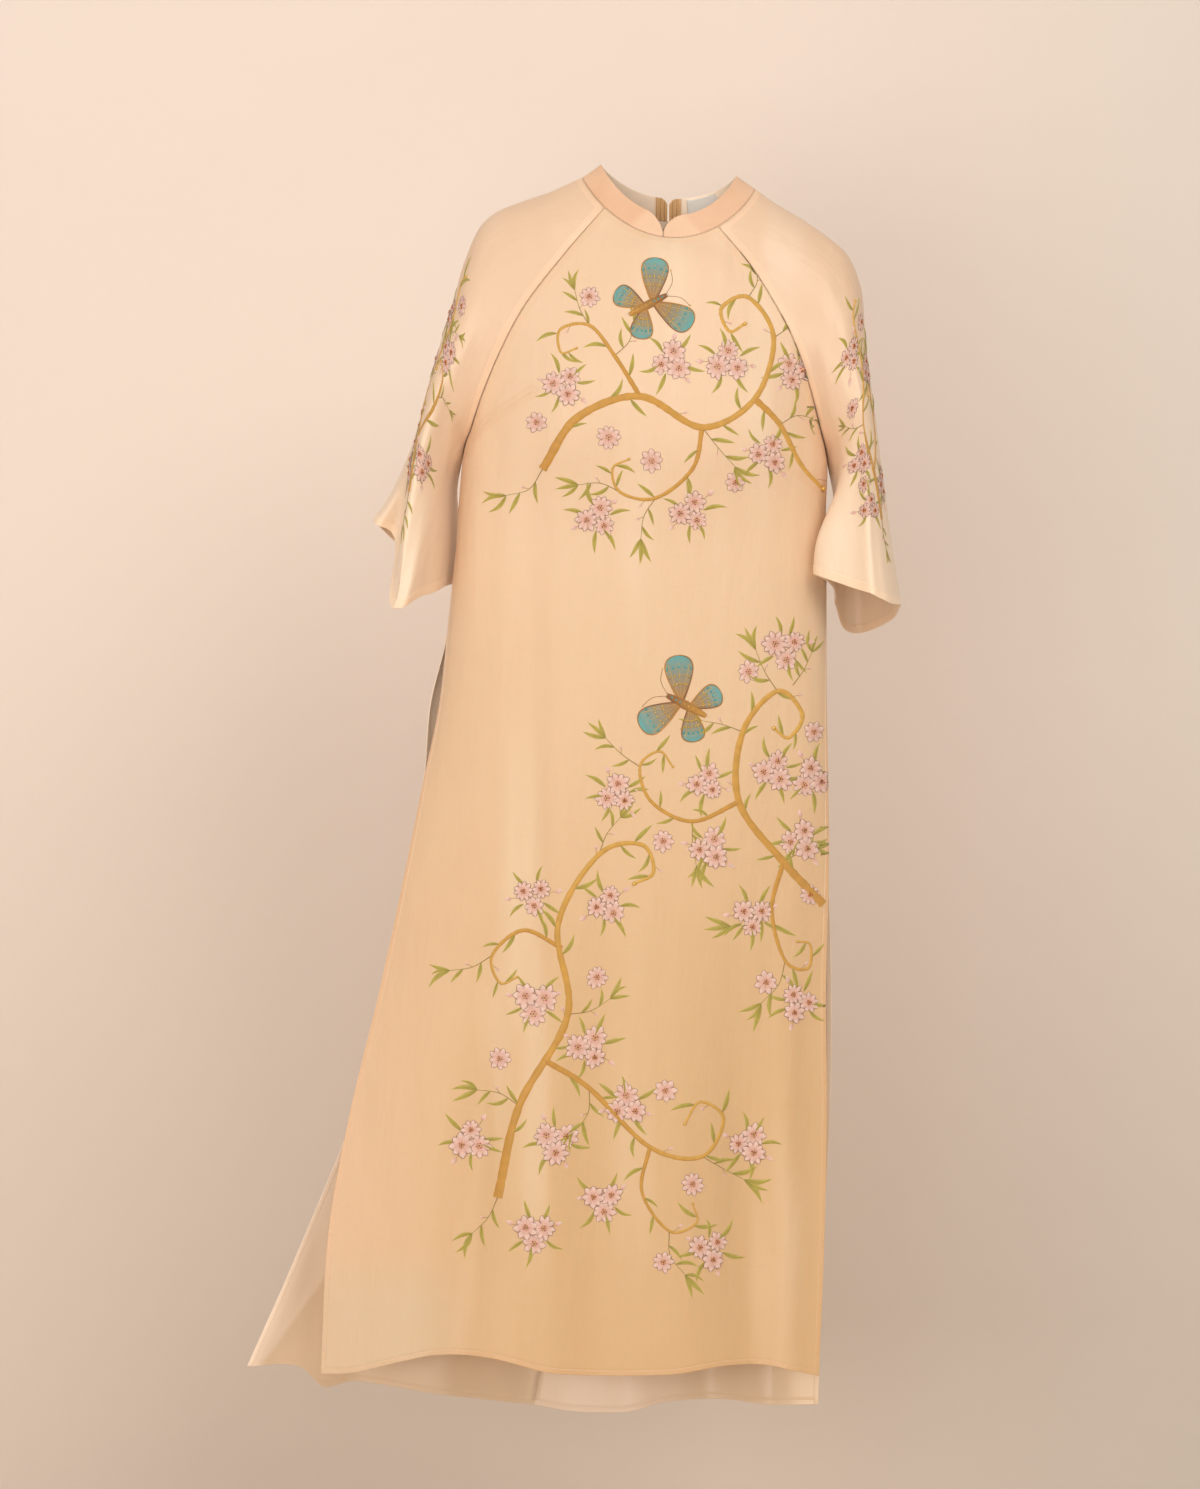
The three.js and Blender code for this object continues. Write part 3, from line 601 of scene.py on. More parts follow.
def satin_side_finish(name="satin side of the silk", facing=False):
    """Pale glossy inside, left paler in a patch as a painted highlight. A facing has a gathered deeper strip at
    each side of the centre-back opening, with painted shade in the folds of its gathers.
    """
    finish = Finish(name)
    tones = colours()
    place = finish.place()
    mottle = finish.clouds(place, 9, 3)
    base = finish.tint(tones.satin, finish.window(mottle, 0.4, 0.8) * 0.3, (0.9, 0.82, 0.74))
    side = finish.part(place, "X")
    height = finish.part(place, "Z")
    beside_tail = finish.window(side - height * TAIL_SLOPE, *TAIL_EDGE) * finish.window(height, *TAIL_HEIGHT)
    # painted highlight: the tan beside the tail is left off a patch of the inner back hem
    tan_round_painted_highlight = beside_tail * finish.window((side - PAINTED_HIGHLIGHT_AT).size(), *PAINTED_HIGHLIGHT_SPAN)
    base = finish.tint(base, tan_round_painted_highlight * 0.9, (0.86, 0.80, 0.70))
    relief = finish.bump(finish.puckers((40, 9), 3), 0.001, finish.bump(finish.weave(0.0006), 0.00002))
    if facing:
        from_middle = side - NECK_X * MM
        strip = 1 - finish.window(from_middle.size(), *GATHERED)
        strip = strip * finish.window(finish.part(place, "Y"), *GATHERED_DEPTH)
        gathers = finish.ripple(from_middle, GATHER_PITCH) * strip
        base = finish.blend(strip, base, tones.facing)
        # painted shade in the folds of the gathers
        base = finish.tint(base, gathers * 0.3, (0.7, 0.55, 0.42))
        relief = finish.bump(gathers, 0.0008, relief)
    return finish.shade(Base_Color=base, Roughness=0.24 + mottle * 0.14, Normal=relief, Sheen_Weight=0.2,
                        Specular_IOR_Level=0.55)


def sheer_finish():
    """Silk that is a little see-through, least in its lower half and in the seam allowances."""
    finish = Finish("sheer silk of the sleeves")
    base, mottle, allowance, relief = silk_body(finish, sheer=True)
    solid = finish.window(finish.part(finish.place(), "Z"), *SHEER_CLOSES)
    alpha = (0.86 + 0.06 * solid) + allowance * 0.1
    return finish.shade(Base_Color=base, Roughness=0.27 + mottle * 0.16, Normal=relief, Alpha=alpha,
                        Sheen_Weight=0.3, Sheen_Roughness=0.3, Sheen_Tint=(1.0, 0.9, 0.78),
                        Specular_IOR_Level=0.5)


def collar_finish():
    """Stiff silk with painted sheen patches and painted shade in the crease at the neck seam."""
    finish = Finish("interfaced silk of the collar")
    tones = colours()
    place = finish.place()
    mottle = finish.clouds(place, 26, 3)
    base = finish.tint(tones.collar, finish.window(mottle, 0.4, 0.75) * 0.4, (0.9, 0.8, 0.7))
    patches = finish.puckers((24, 4), 0)
    # painted sheen: lighter patches of the sheer tone
    base = finish.blend(finish.window(patches, 0.45, 0.56) * 0.4, base, tones.sheer)
    crease = 1 - finish.window(finish.attribute("seam"), *COLLAR_CREASE)
    # painted shade in the crease at the neck seam
    base = finish.tint(base, crease * 0.7, (0.68, 0.5, 0.38))
    relief = finish.bump(finish.weave(0.0006), 0.00003)
    relief = finish.bump(finish.puckers((70, 160), 3), 0.0006, relief)
    return finish.shade(Base_Color=base, Roughness=0.4 + mottle * 0.15, Normal=relief, Sheen_Weight=0.3,
                        Sheen_Tint=(1.0, 0.88, 0.74))


def hem_finish(name, sheer):
    """Two more layers of the cloth, a little puckered along the stitches."""
    finish = Finish(name)
    base, mottle, _, relief = silk_body(finish, sheer)
    base = finish.tint(base, 0.5, (0.97, 0.9, 0.82))
    relief = finish.bump(finish.puckers((30, 260), 2), 0.0007, relief)
    return finish.shade(Base_Color=base, Roughness=0.34 + mottle * 0.16, Sheen_Weight=0.3,
                        Sheen_Tint=(1.0, 0.9, 0.78), Normal=relief)


def satin_stitch_finish():
    """Threads laid side by side across each band, coloured by the tint of the stitches."""
    finish = Finish("embroidery silk")
    place = finish.weave_place()
    slant = finish.part(place, "X") * 0.35 + finish.part(place, "Y")
    threads = finish.ripple(slant, 0.0006) * 0.5 + 0.5
    shine = finish.clouds(finish.place(), 160, 2)
    base = finish.tint(finish.attribute("tint", "Color"), (1 - threads) * 0.45, (0.74, 0.66, 0.6))
    return finish.shade(Base_Color=base, Roughness=0.34 + shine * 0.2, Sheen_Weight=0.25,
                        Specular_IOR_Level=0.55, Normal=finish.bump(threads, 0.00012))


def bead_finish():
    finish = Finish("glass beads and sequins")
    cloudy = finish.clouds(finish.place(), 420, 2)
    tone = finish.attribute("tint", "Color")
    base = finish.tint(tone, finish.window(cloudy, 0.4, 0.7) * 0.4, (0.7, 0.68, 0.66))
    return finish.shade(Base_Color=base, Roughness=0.12 + cloudy * 0.15, Metallic=0.35 + cloudy * 0.2,
                        Coat_Weight=0.4)


def plaster_finish(name, shade):
    """Painted plaster with painted shade, a little darker low down and to the right where less light falls. Its
    back is clear, to see past it.
    """
    finish = Finish(name)
    place = finish.place()
    # painted shade: darker low down and to the right, where less light falls
    low = finish.window(finish.part(place, "Z"), *WALL_PAINTED_SHADE_HEIGHT)
    right = finish.window(finish.part(place, "X"), *WALL_PAINTED_SHADE_SIDE)
    base = finish.tint(shade, low, (0.86, 0.85, 0.82))
    base = finish.tint(base, right, (0.87, 0.9, 0.92))
    plaster = finish.clouds(place, 1.3, 4)
    base = finish.tint(base, finish.window(plaster, 0.4, 0.7) * 0.3, (0.95, 0.94, 0.93))
    behind_it = finish.node("ShaderNodeNewGeometry", output="Backfacing")
    relief = finish.bump(finish.clouds(place, 14, 4), 0.0015)
    return finish.shade(Base_Color=base, Roughness=0.9, Normal=relief, Alpha=1 - behind_it)


def thread_finish(name, shade, roughness=0.5):
    finish = Finish(name)
    strands = finish.clouds(finish.stretch(finish.place(), (900, 900, 900)), 1, 1)
    base = finish.tint(shade, finish.window(strands, 0.4, 0.7) * 0.4, (0.8, 0.72, 0.66))
    return finish.shade(Base_Color=base, Roughness=roughness + strands * 0.1, Sheen_Weight=0.3)


def tape_finish(name, shade, pitch):
    finish = Finish(name)
    weave = finish.weave(pitch)
    base = finish.tint(shade, (1 - weave) * 0.35, (0.82, 0.78, 0.74))
    mottle = finish.clouds(finish.place(), 90, 2)
    base = finish.tint(base, finish.window(mottle, 0.45, 0.8) * 0.3, (0.88, 0.85, 0.82))
    return finish.shade(Base_Color=base, Roughness=0.6 + mottle * 0.15, Sheen_Weight=0.15,
                        Normal=finish.bump(weave, 0.00008))


def metal_finish():
    finish = Finish("painted zip metal")
    place = finish.place()
    grain = finish.clouds(finish.stretch(place, (2400, 2400, 200)), 1, 2)
    worn = finish.window(finish.clouds(place, 700, 3), 0.5, 0.75)
    base = finish.blend(worn * 0.5, colours().metal, (0.78, 0.74, 0.7))
    return finish.shade(Base_Color=base, Roughness=0.26 + grain * 0.2, Metallic=0.75 + worn * 0.25,
                        Normal=finish.bump(grain, 0.00002))


# ---------------------------------------------------------------- meshes
SURFACES = {}  # name of a cloth piece: its Surface, for the hems, stitches and embroidery that lie on it
FAR_FROM_SEAM = 0.05
SEAM_STEP = 0.001  # between the points that stand for a seam
CREASE_FADE = 0.035  # the creases fade out over this distance from the seams
SEED_STEPS = (13.7, 5.3, 9.1)
ROUNDED_FROM = math.radians(50)
FINE_CREASE, FINE_SHARE = 2.7, 0.4


class Surface:
    """The outer face of a cloth piece, in metres, before it gets its thickness."""

    def __init__(self, bm, points, normals):
        self.tree = BVHTree.FromBMesh(bm)
        self.points = points
        self.normals = normals


def finish_piece(name, bm, materials):
    """Makes the piece from its bmesh, at the origin, and lets it ride on the garment."""
    mesh = bpy.data.meshes.new(name)
    bm.to_mesh(mesh)
    bm.free()
    mesh.shade_smooth()
    piece = bpy.data.objects.new(name, mesh)
    bpy.context.scene.collection.objects.link(piece)
    for material in materials:
        mesh.materials.append(material)
    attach(piece, BODY)
    return piece


def thicken(piece, thickness, inner_slot=0, offset=-1.0):
    wall = piece.modifiers.new("wall", "SOLIDIFY")
    wall.thickness = thickness
    wall.offset = offset
    wall.material_offset = inner_slot
    wall.material_offset_rim = inner_slot


def round_edges(piece, width):
    bevel = piece.modifiers.new("rounded edges", "BEVEL")
    bevel.width = width
    bevel.segments = 2
    bevel.limit_method = "ANGLE"
    bevel.angle_limit = ROUNDED_FROM


def seam_tree(lines):
    """Nearest-point tree of lines of points, filled in to a millimetre, in metres."""
    points = []
    for line in lines:
        for start, end in zip(line, line[1:]):
            steps = max(1, int((end - start).length / SEAM_STEP))
            points += [start.lerp(end, k / steps) for k in range(steps)]
        points.append(line[-1])
    tree = kdtree.KDTree(len(points))
    for k, point in enumerate(points):
        tree.insert(point, k)
    tree.balance()
    return tree


def cloth_grid(rows, places, point, flip, seams=None, crease=None):
    """A grid mapped to a surface, its weave map in metres, and its distance from the seams as an attribute.

    point(row, place) is in millimetres. crease(point, distance from the seams) is how far the cloth stands
    out there, in metres.
    """
    bm = bmesh.new()
    across, down = len(places) - 1, len(rows) - 1
    bmesh.ops.create_grid(bm, x_segments=across, y_segments=down, size=1)
    seam_layer = bm.verts.layers.float.new("seam")
    map_layer = bm.loops.layers.uv.new("weave")
    grid = [[None] * (across + 1) for _ in range(down + 1)]
    for vert in bm.verts:
        j = round((vert.co.x + 1) / 2 * across)
        i = round((1 - vert.co.y) / 2 * down)
        grid[i][j] = vert
    for row, line in zip(rows, grid):
        for place, vert in zip(places, line):
            vert.co = point(row, place) * MM
    if flip:
        bmesh.ops.reverse_faces(bm, faces=bm.faces)
    bm.normal_update()
    for vert in bm.verts:
        vert[seam_layer] = FAR_FROM_SEAM if seams is None else min(FAR_FROM_SEAM, seams.find(vert.co)[2])
    if crease is not None:
        shifts = [vert.normal * crease(vert.co, vert[seam_layer]) for vert in bm.verts]
        for vert, shift in zip(bm.verts, shifts):
            vert.co += shift
        bm.normal_update()
    middle = across // 2
    u = [[0.0] * (across + 1) for _ in grid]
    v = [[0.0] * (across + 1) for _ in grid]
    for i, line in enumerate(grid):
        for j in range(middle + 1, across + 1):
            u[i][j] = u[i][j - 1] + (line[j].co - line[j - 1].co).length
        for j in range(middle - 1, -1, -1):
            u[i][j] = u[i][j + 1] - (line[j].co - line[j + 1].co).length
        if i:
            for j in range(across + 1):
                v[i][j] = v[i - 1][j] - (line[j].co - grid[i - 1][j].co).length
    place_of = {vert: (i, j) for i, line in enumerate(grid) for j, vert in enumerate(line)}
    for face in bm.faces:
        for loop in face.loops:
            i, j = place_of[loop.vert]
            loop[map_layer].uv = (u[i][j], v[i][j])
    return bm, grid


def keep_surface(name, bm, grid):
    SURFACES[name] = Surface(bm, [[vert.co.copy() for vert in line] for line in grid],
                             [[vert.normal.copy() for vert in line] for line in grid])


def small_creases(height, stretch, seed):
    """Soft uneven creases that fade out towards the seams, where the pieces have to meet."""
    shift = Vector([seed * step for step in SEED_STEPS])

    def crease(point, from_seam):
        fade = ease(from_seam / CREASE_FADE)
        if fade == 0:
            return 0.0
        spot = Vector((point.x * stretch[0], point.y * stretch[1], point.z * stretch[2]))
        broad = noise.noise(spot + shift)
        fine = noise.noise(spot * FINE_CREASE + shift)
        return height * fade * (broad + FINE_SHARE * fine)

    return crease


# ---------------------------------------------------------------- cloth pieces
COLLAR_FRONT_GAP, COLLAR_BACK_GAP = 0.3, 0.6  # degrees that each half stops short of the middle
DART_LEFT = ((-143.5, -199.7), (-167.4, -212.2), (-189.3, -227.8), (-203.8, -241.3))
DART_RIGHT = ((114.4, -265.2), (136, -281), (156, -296.4))


def panel_line(panel, t, start, end, steps=60):
    return [panel.point(row, t) * MM for row in spread(start, end, steps)]


def neck_line(first, last, steps=40):
    return [neck_point(angle) * MM for angle in spread(first, last, steps)]


def dart_line(dart):
    """The dart's points, given as x and z, laid on the front."""
    places = [FRONT.point(row, t) for row in spread(2, SLIT, 48) for t in spread(0, 1, 60)]
    return [min(places, key=lambda place: math.hypot(place.x - x, place.z - z)) * MM for x, z in dart]


def panel_seams(panel):
    return [neck_line(panel.first, panel.last), panel_line(panel, 0, 0, SLIT), panel_line(panel, 1, 0, SLIT)]


class AODAI_OT_front(bpy.types.Operator):
    """Makes the front: one panel from the neck to the hem, with a dart at each side of the bust"""

    bl_idname = "aodai.front"
    bl_label = "Front panel"

    def execute(self, context):
        sizes = cloth_sizes()
        seams = seam_tree(panel_seams(FRONT) + [dart_line(DART_LEFT), dart_line(DART_RIGHT)])
        crease = small_creases(sizes.crease, (16, 4, 3), 1)
        bm, grid = cloth_grid(spread(0, BODY_ROWS, 300), spread(0, 1, 110), FRONT.point, False, seams, crease)
        keep_surface("front", bm, grid)
        piece = finish_piece("front_silk", bm, [silk_finish(), satin_side_finish()])
        thicken(piece, sizes.wall, 1)
        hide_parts("front_panel")
        return {"FINISHED"}


class AODAI_OT_back(bpy.types.Operator):
    """Makes the two halves of the back, joined by the zip and the seam below it"""

    bl_idname = "aodai.back"
    bl_label = "Back halves"

    def execute(self, context):
        sizes = cloth_sizes()
        seams = seam_tree(panel_seams(BACK) + [panel_line(BACK, 0.5, 0, BODY_ROWS, 200)])
        materials = [silk_finish(), satin_side_finish()]
        rows = spread(0, BODY_ROWS, 300)
        crease = small_creases(sizes.crease, (16, 4, 5), 2)
        for name, node, start, end in (("back_silk_left", "back_left", 0, 0.5),
                                       ("back_silk_right", "back_right", 0.5, 1)):
            bm, grid = cloth_grid(rows, spread(start, end, 56), BACK.point, True, seams, crease)
            keep_surface(node, bm, grid)
            piece = finish_piece(name, bm, materials)
            thicken(piece, sizes.wall, 1)
            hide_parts(node, f"{node}_skirt")
        return {"FINISHED"}


class AODAI_OT_sleeves(bpy.types.Operator):
    """Makes the two wide raglan sleeves"""

    bl_idname = "aodai.sleeves"
    bl_label = "Sleeves"

    def execute(self, context):
        sizes = cloth_sizes()
        material = sheer_finish()
        rows = spread(0, CUFF, 120)
        places = spread(0, 1, 120)
        crease = small_creases(sizes.sleeve_fold, (20, 20, 3.5), 3)
        for side, sleeve, flip in (("left", SLEEVE_LEFT, False), ("right", SLEEVE_RIGHT, True)):
            raglan = [panel_line(panel, sleeve.panel_edge, 0, UNDERARM) for panel in (FRONT, BACK)]
            under = panel_line(sleeve, 0, UNDERARM, CUFF, 40)
            seams = seam_tree([neck_line(*sleeve.neck[1:]), *raglan, under])
            bm, grid = cloth_grid(rows, places, sleeve.point, not flip, seams, crease)
            keep_surface(f"sleeve_{side}", bm, grid)
            rings = [line for row, line in zip(rows, grid) if row > UNDERARM - 0.01]
            ends = [vert for line in rings for vert in (line[0], line[-1])]
            bmesh.ops.remove_doubles(bm, verts=ends, dist=2e-5)
            piece = finish_piece(f"sleeve_silk_{side}", bm, [material])
            thicken(piece, sizes.wall)
            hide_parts(f"sleeve_{side}")
        return {"FINISHED"}


class AODAI_OT_collar(bpy.types.Operator):
    """Makes the low stand collar in two halves, rounded off to a notch at the front"""

    bl_idname = "aodai.collar"
    bl_label = "Collar"

    def execute(self, context):
        sizes = cloth_sizes()
        materials = [collar_finish(), satin_side_finish("inside of the collar", True)]
        seams = seam_tree([neck_line(0, 360, 200)])
        back_end = BACK_MIDDLE - COLLAR_BACK_GAP
        for side, start, end, flip in (("left", NOTCH + COLLAR_FRONT_GAP, back_end, False),
                                       ("right", NOTCH - COLLAR_FRONT_GAP, 180 - back_end, True)):
            bm, _ = cloth_grid(spread(1, 0, 10), spread(start, end, 130),
                               lambda part, angle: collar_point(angle, part), not flip, seams)
            piece = finish_piece(f"collar_silk_{side}", bm, materials)
            thicken(piece, sizes.collar_wall, 1)
            round_edges(piece, 0.0006)
            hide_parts(f"collar_{side}")
        return {"FINISHED"}


# ---------------------------------------------------------------- hems and stitching
OVERHANG = 0.0004  # a turned hem reaches this far past the edge of the wall
HEM_SHARES = (0.15, 0.4, 0.65, 0.85, 1)  # lines of points across a hem
HEM_ROUND = 0.0005
STITCH_IN = 0.0013  # from a hem's inner edge to its stitches
LOWER_LIFT = 0.0002  # a lower hem lies this far over the slits' hems at the corners
REACH = 8  # points of the cloth that a hem can reach across
CLOTH_EDGES = (
    ("front", "front_silk", ("left", "right", "hem")),
    ("back_left", "back_silk_left", ("left", "hem")),
    ("back_right", "back_silk_right", ("right", "hem")),
    ("sleeve_left", "sleeve_silk_left", ("cuff",)),
    ("sleeve_right", "sleeve_silk_right", ("cuff",)),
)


def edge_lines(surface, edge):
    """From each point of an edge, a short line of (point, normal) that runs inwards across the cloth."""
    points, normals = surface.points, surface.normals
    last_row, last = len(points) - 1, len(points[0]) - 1
    first = round(SLIT / BODY_ROWS * last_row)
    if edge == "left":
        lines = [[(i, k) for k in range(REACH)] for i in range(first, last_row + 1)]
    elif edge == "right":
        lines = [[(i, last - k) for k in range(REACH)] for i in range(first, last_row + 1)]
    else:
        lines = [[(last_row - k, j) for k in range(REACH)] for j in range(last + 1)]
    return [[(points[i][j], normals[i][j]) for i, j in line] for line in lines]


def walk(line, distance):
    """Point and normal at a distance along a line of (point, normal), before its start if negative."""
    start, facing = line[0]
    if distance < 0:
        return start + (start - line[1][0]).normalized() * -distance, facing
    for (here, facing), (there, turned) in zip(line, line[1:]):
        step = (there - here).length
        if distance <= step:
            share = distance / step
            return here.lerp(there, share), facing.lerp(turned, share).normalized()
        distance -= step
    return line[-1]


def hem_band(name, lines, width, lift, materials):
    """A turned hem: a strip round the edge, as thick as the folded cloth."""
    offsets = [-OVERHANG] + [share * width for share in HEM_SHARES]

    def point(k, offset):
        spot, facing = walk(lines[round(k)], offset)
        return (spot + facing * lift) / MM

    bm, grid = cloth_grid(range(len(lines)), offsets, point, False)
    middle = len(lines) // 2
    if grid[middle][2].normal.dot(lines[middle][1][1]) < 0:
        bmesh.ops.reverse_faces(bm, faces=bm.faces)
    if (lines[0][0][0] - lines[-1][0][0]).length < 1e-4:
        bmesh.ops.remove_doubles(bm, verts=grid[0] + grid[-1], dist=1e-4)
    piece = finish_piece(name, bm, materials)
    thicken(piece, cloth_sizes().hem_wall, 1)
    round_edges(piece, HEM_ROUND)
    return piece


def set_on(place, along_it, out, size):
    """Matrix that sets a unit shape down at a place, its x along a direction and its z out of the cloth."""
    x = along_it.normalized()
    y = out.cross(x).normalized()
    turn = Matrix((x, y, x.cross(y))).transposed().to_4x4()
    return Matrix.Translation(place) @ turn @ Matrix.Diagonal((*size, 1))


def even_steps(line, step):
    """(point, normal, direction) at even steps along a line of (point, normal)."""
    spots = []
    ahead = step / 2
    for (here, facing), (there, turned) in zip(line, line[1:]):
        span = (there - here).length
        while ahead < span:
            share = ahead / span
            spots.append((here.lerp(there, share), facing.lerp(turned, share).normalized(), there - here))
            ahead += step
        ahead -= span
    return spots


def stitch_line(bm, line, heights):
    """Machine stitches along a line, at each of the heights above the cloth."""
    sizes = cloth_sizes()
    size = (sizes.stitch * 0.36, sizes.thread / 2, sizes.thread / 3)
    for spot, facing, direction in even_steps(line, sizes.stitch):
        for height in heights:
            bmesh.ops.create_icosphere(bm, subdivisions=1, radius=1,
                                       matrix=set_on(spot + facing * height, direction, facing, size))


class AODAI_OT_hems(bpy.types.Operator):
    """Turns and stitches the narrow hems of the slits, the lower edges and the cuffs"""

    bl_idname = "aodai.hems"
    bl_label = "Hems and stitches"

    def execute(self, context):
        sizes = cloth_sizes()
        widths = {"hem": sizes.lower_hem, "cuff": sizes.cuff_hem}
        inside = satin_side_finish("satin side of the hems")
        body_hem = [hem_finish("silk of the hems", False), inside]
        cuff_hem = [hem_finish("sheer silk of the cuffs", True)] * 2
        thread = thread_finish("peach sewing thread", colours().thread)
        spare = (sizes.hem_wall - sizes.wall) / 2
        for surface, sheet, edges in CLOTH_EDGES:
            bm = bmesh.new()
            for edge in edges:
                width = widths.get(edge, sizes.slit_hem)
                lift = spare + LOWER_LIFT if edge == "hem" else spare
                lines = edge_lines(SURFACES[surface], edge)
                materials, slot = (cuff_hem, "sleeve_silk") if edge == "cuff" else (body_hem, "silk")
                hem_band(f"{sheet}_{edge}_band", lines, width, lift, materials)
                path = [walk(line, width - STITCH_IN) for line in lines]
                stitch_line(bm, path, (lift, lift - sizes.hem_wall))
            finish_piece(f"{sheet}_stitches", bm, [thread])
        return {"FINISHED"}


# ---------------------------------------------------------------- zip and label
NUDGE = 1e-3
TAPE_FROM, TAPE_TO = 0.25, 6.75  # levels of the zip tapes
TAPE_HALF = 11
TAPE_DEPTH = 1.8  # from the outside of the back to the face of the tapes
TAPE_WALL = 0.0006
TOOTH_PITCH = 0.0015
TOOTH = (0.0014, 0.0005, 0.00045)  # half sizes
TOOTH_AWAY = 0.35  # from the middle of the zip
TOOTH_OUT = 0.0006
LABEL_FROM, LABEL_TO = -76, -49  # degrees round the neck
LABEL_LOW, LABEL_HIGH = 0.2, 0.92  # shares of the collar's height
LABEL_DEPTH = 2.2  # from the outside of the collar to the side of the label that lies on it
LABEL_WALL = 0.0005
LABEL_SEAM = 1.2  # degrees from an end of the label to its stitches
LABEL_STITCH_OUT = 0.0006


def behind(point, row, place, depth):
    """Point at a depth behind a surface that looks outwards, in millimetres."""
    down = point(row + NUDGE, place) - point(row - NUDGE, place)
    across = point(row, place + NUDGE) - point(row, place - NUDGE)
    return point(row, place) - across.cross(down).normalized() * depth


def back_width(row):
    return (BACK.point(row, 0.5 + NUDGE) - BACK.point(row, 0.5 - NUDGE)).length / (2 * NUDGE)


class AODAI_OT_zip(bpy.types.Operator):
    """Makes the zip's tapes and coil behind the centre-back seam, and finishes its slider and pull"""

    bl_idname = "aodai.zip"
    bl_label = "Zip"

    def execute(self, context):
        tape = tape_finish("woven zip tape", colours().tape, 0.0008)
        coil = thread_finish("nylon coil", colours().coil, 0.3)
        for side, sign in (("left", -1), ("right", 1)):
            def spot(row, away, sign=sign):
                return behind(BACK.point, row, 0.5 + sign * away / back_width(row), TAPE_DEPTH)

            rows = spread(TAPE_FROM, TAPE_TO, 90)
            places = [0.15, 1.6, 2.6, 5, 8, TAPE_HALF]
            bm, grid = cloth_grid(rows, places, spot, sign < 0)
            if grid[40][2].normal.y < 0:
                bmesh.ops.reverse_faces(bm, faces=bm.faces)
            piece = finish_piece(f"zip_tape_cloth_{side}", bm, [tape])
            thicken(piece, TAPE_WALL)
            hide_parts(f"zip_tape_{side}")
            teeth = bmesh.new()
            line = [(spot(row, TOOTH_AWAY) * MM, Vector((0, 1, 0))) for row in rows]
            for place, out, direction in even_steps(line, TOOTH_PITCH):
                place = place + Vector((0, TOOTH_OUT, sign * TOOTH_PITCH / 4))
                bmesh.ops.create_icosphere(teeth, subdivisions=1, radius=1,
                                           matrix=set_on(place, out.cross(direction), out, TOOTH))
            finish_piece(f"zip_coil_{side}", teeth, [coil])
        metal = metal_finish()
        for node in ("zip_slider", "zip_pull"):
            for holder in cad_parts[node].material_slots:
                holder.material = metal
        return {"FINISHED"}


class AODAI_OT_label(bpy.types.Operator):
    """Makes the bare woven label inside the back of the collar, sewn down at its two ends"""

    bl_idname = "aodai.label"
    bl_label = "Neck label"

    def execute(self, context):
        angles = spread(LABEL_FROM, LABEL_TO, 40)
        falls = spread(1 - LABEL_HIGH, 1 - LABEL_LOW, 14)

        def spot(fall, angle):
            return behind(lambda down, at: collar_point(at, 1 - down), fall, angle, LABEL_DEPTH)

        bm, grid = cloth_grid(falls, angles, spot, False)
        if grid[7][20].normal.y > 0:
            bmesh.ops.reverse_faces(bm, faces=bm.faces)
        woven = tape_finish("woven label", colours().label, 0.0005)
        piece = finish_piece("label_cloth", bm, [woven])
        thicken(piece, LABEL_WALL, offset=1.0)
        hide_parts("neck_label")
        stitches = bmesh.new()
        inward = Vector((0, -1, 0))
        for angle in (LABEL_FROM + LABEL_SEAM, LABEL_TO - LABEL_SEAM):
            line = [(spot(fall, angle) * MM, inward) for fall in falls]
            stitch_line(stitches, line, (LABEL_STITCH_OUT,))
        thread = thread_finish("white sewing thread", colours().label)
        finish_piece("label_stitches", stitches, [thread])
        return {"FINISHED"}


# ---------------------------------------------------------------- embroidery
class Threadwork:
    """Raised satin stitch and beads on cloth. lay(x, z), in millimetres, gives a point and its normal."""

    def __init__(self, lay, seed):
        self.lay = lay
        self.chance = random.Random(seed)
        self.bm = bmesh.new()
        self.tint = self.bm.verts.layers.float_color.new("tint")
        self.map = self.bm.loops.layers.uv.new("weave")

    def shade(self, tones, share):
        """Colour a share of the way between two tones, a little lighter or darker by chance."""
        swing = self.chance.uniform(0.93, 1.07)
        return [min(1.0, mix(a, b, share) * swing) for a, b in zip(*tones)] + [1.0]

    def band(self, points, widths, tones, height, base=0.0, across=4):
        """Crowned band of stitches over a line. Its edges dip into the cloth, unless it has a base."""
        steps = len(points) - 1
        ahead = [(points[min(k + 1, steps)] - points[max(k - 1, 0)]).normalized() for k in range(steps + 1)]
        run = [0.0]
        for here, there in zip(points, points[1:]):
            run.append(run[-1] + (there - here).length * MM)
        tints = [self.shade(tones, k / steps) for k in range(steps + 1)]
        for vert in bmesh.ops.create_grid(self.bm, x_segments=across, y_segments=steps, size=1)["verts"]:
            side = vert.co.x
            k = round((vert.co.y + 1) / 2 * steps)
            away = side * widths[k] / 2
            spot, out = self.lay(points[k].x + ahead[k].y * away, points[k].y - ahead[k].x * away)
            crown = math.sqrt(max(0.0, 1 - side * side))
            vert.co = spot + out * ((base + height * crown - EDGE_DIP * (1 - crown)) * MM)
            vert[self.tint] = tints[k]
            for loop in vert.link_loops:
                loop[self.map].uv = (away * MM, run[k])
        return points

    def bead(self, x, z, radius, tone, flat=0.8, base=0.0):
        """A small bead or, when flat is small, a sequin."""
        spot, out = self.lay(x, z)
        place = spot + out * ((base + radius * flat * 0.7) * MM)
        size = (radius * MM, radius * MM, radius * flat * MM)
        made = bmesh.ops.create_icosphere(self.bm, subdivisions=1, radius=1,
                                          matrix=set_on(place, Vector((0.2, 0.1, 1)).cross(out), out, size))
        tint = self.shade((tone, tone), 0)
        for vert in made["verts"]:
            vert[self.tint] = tint
            for face in vert.link_faces:
                face.material_index = 1


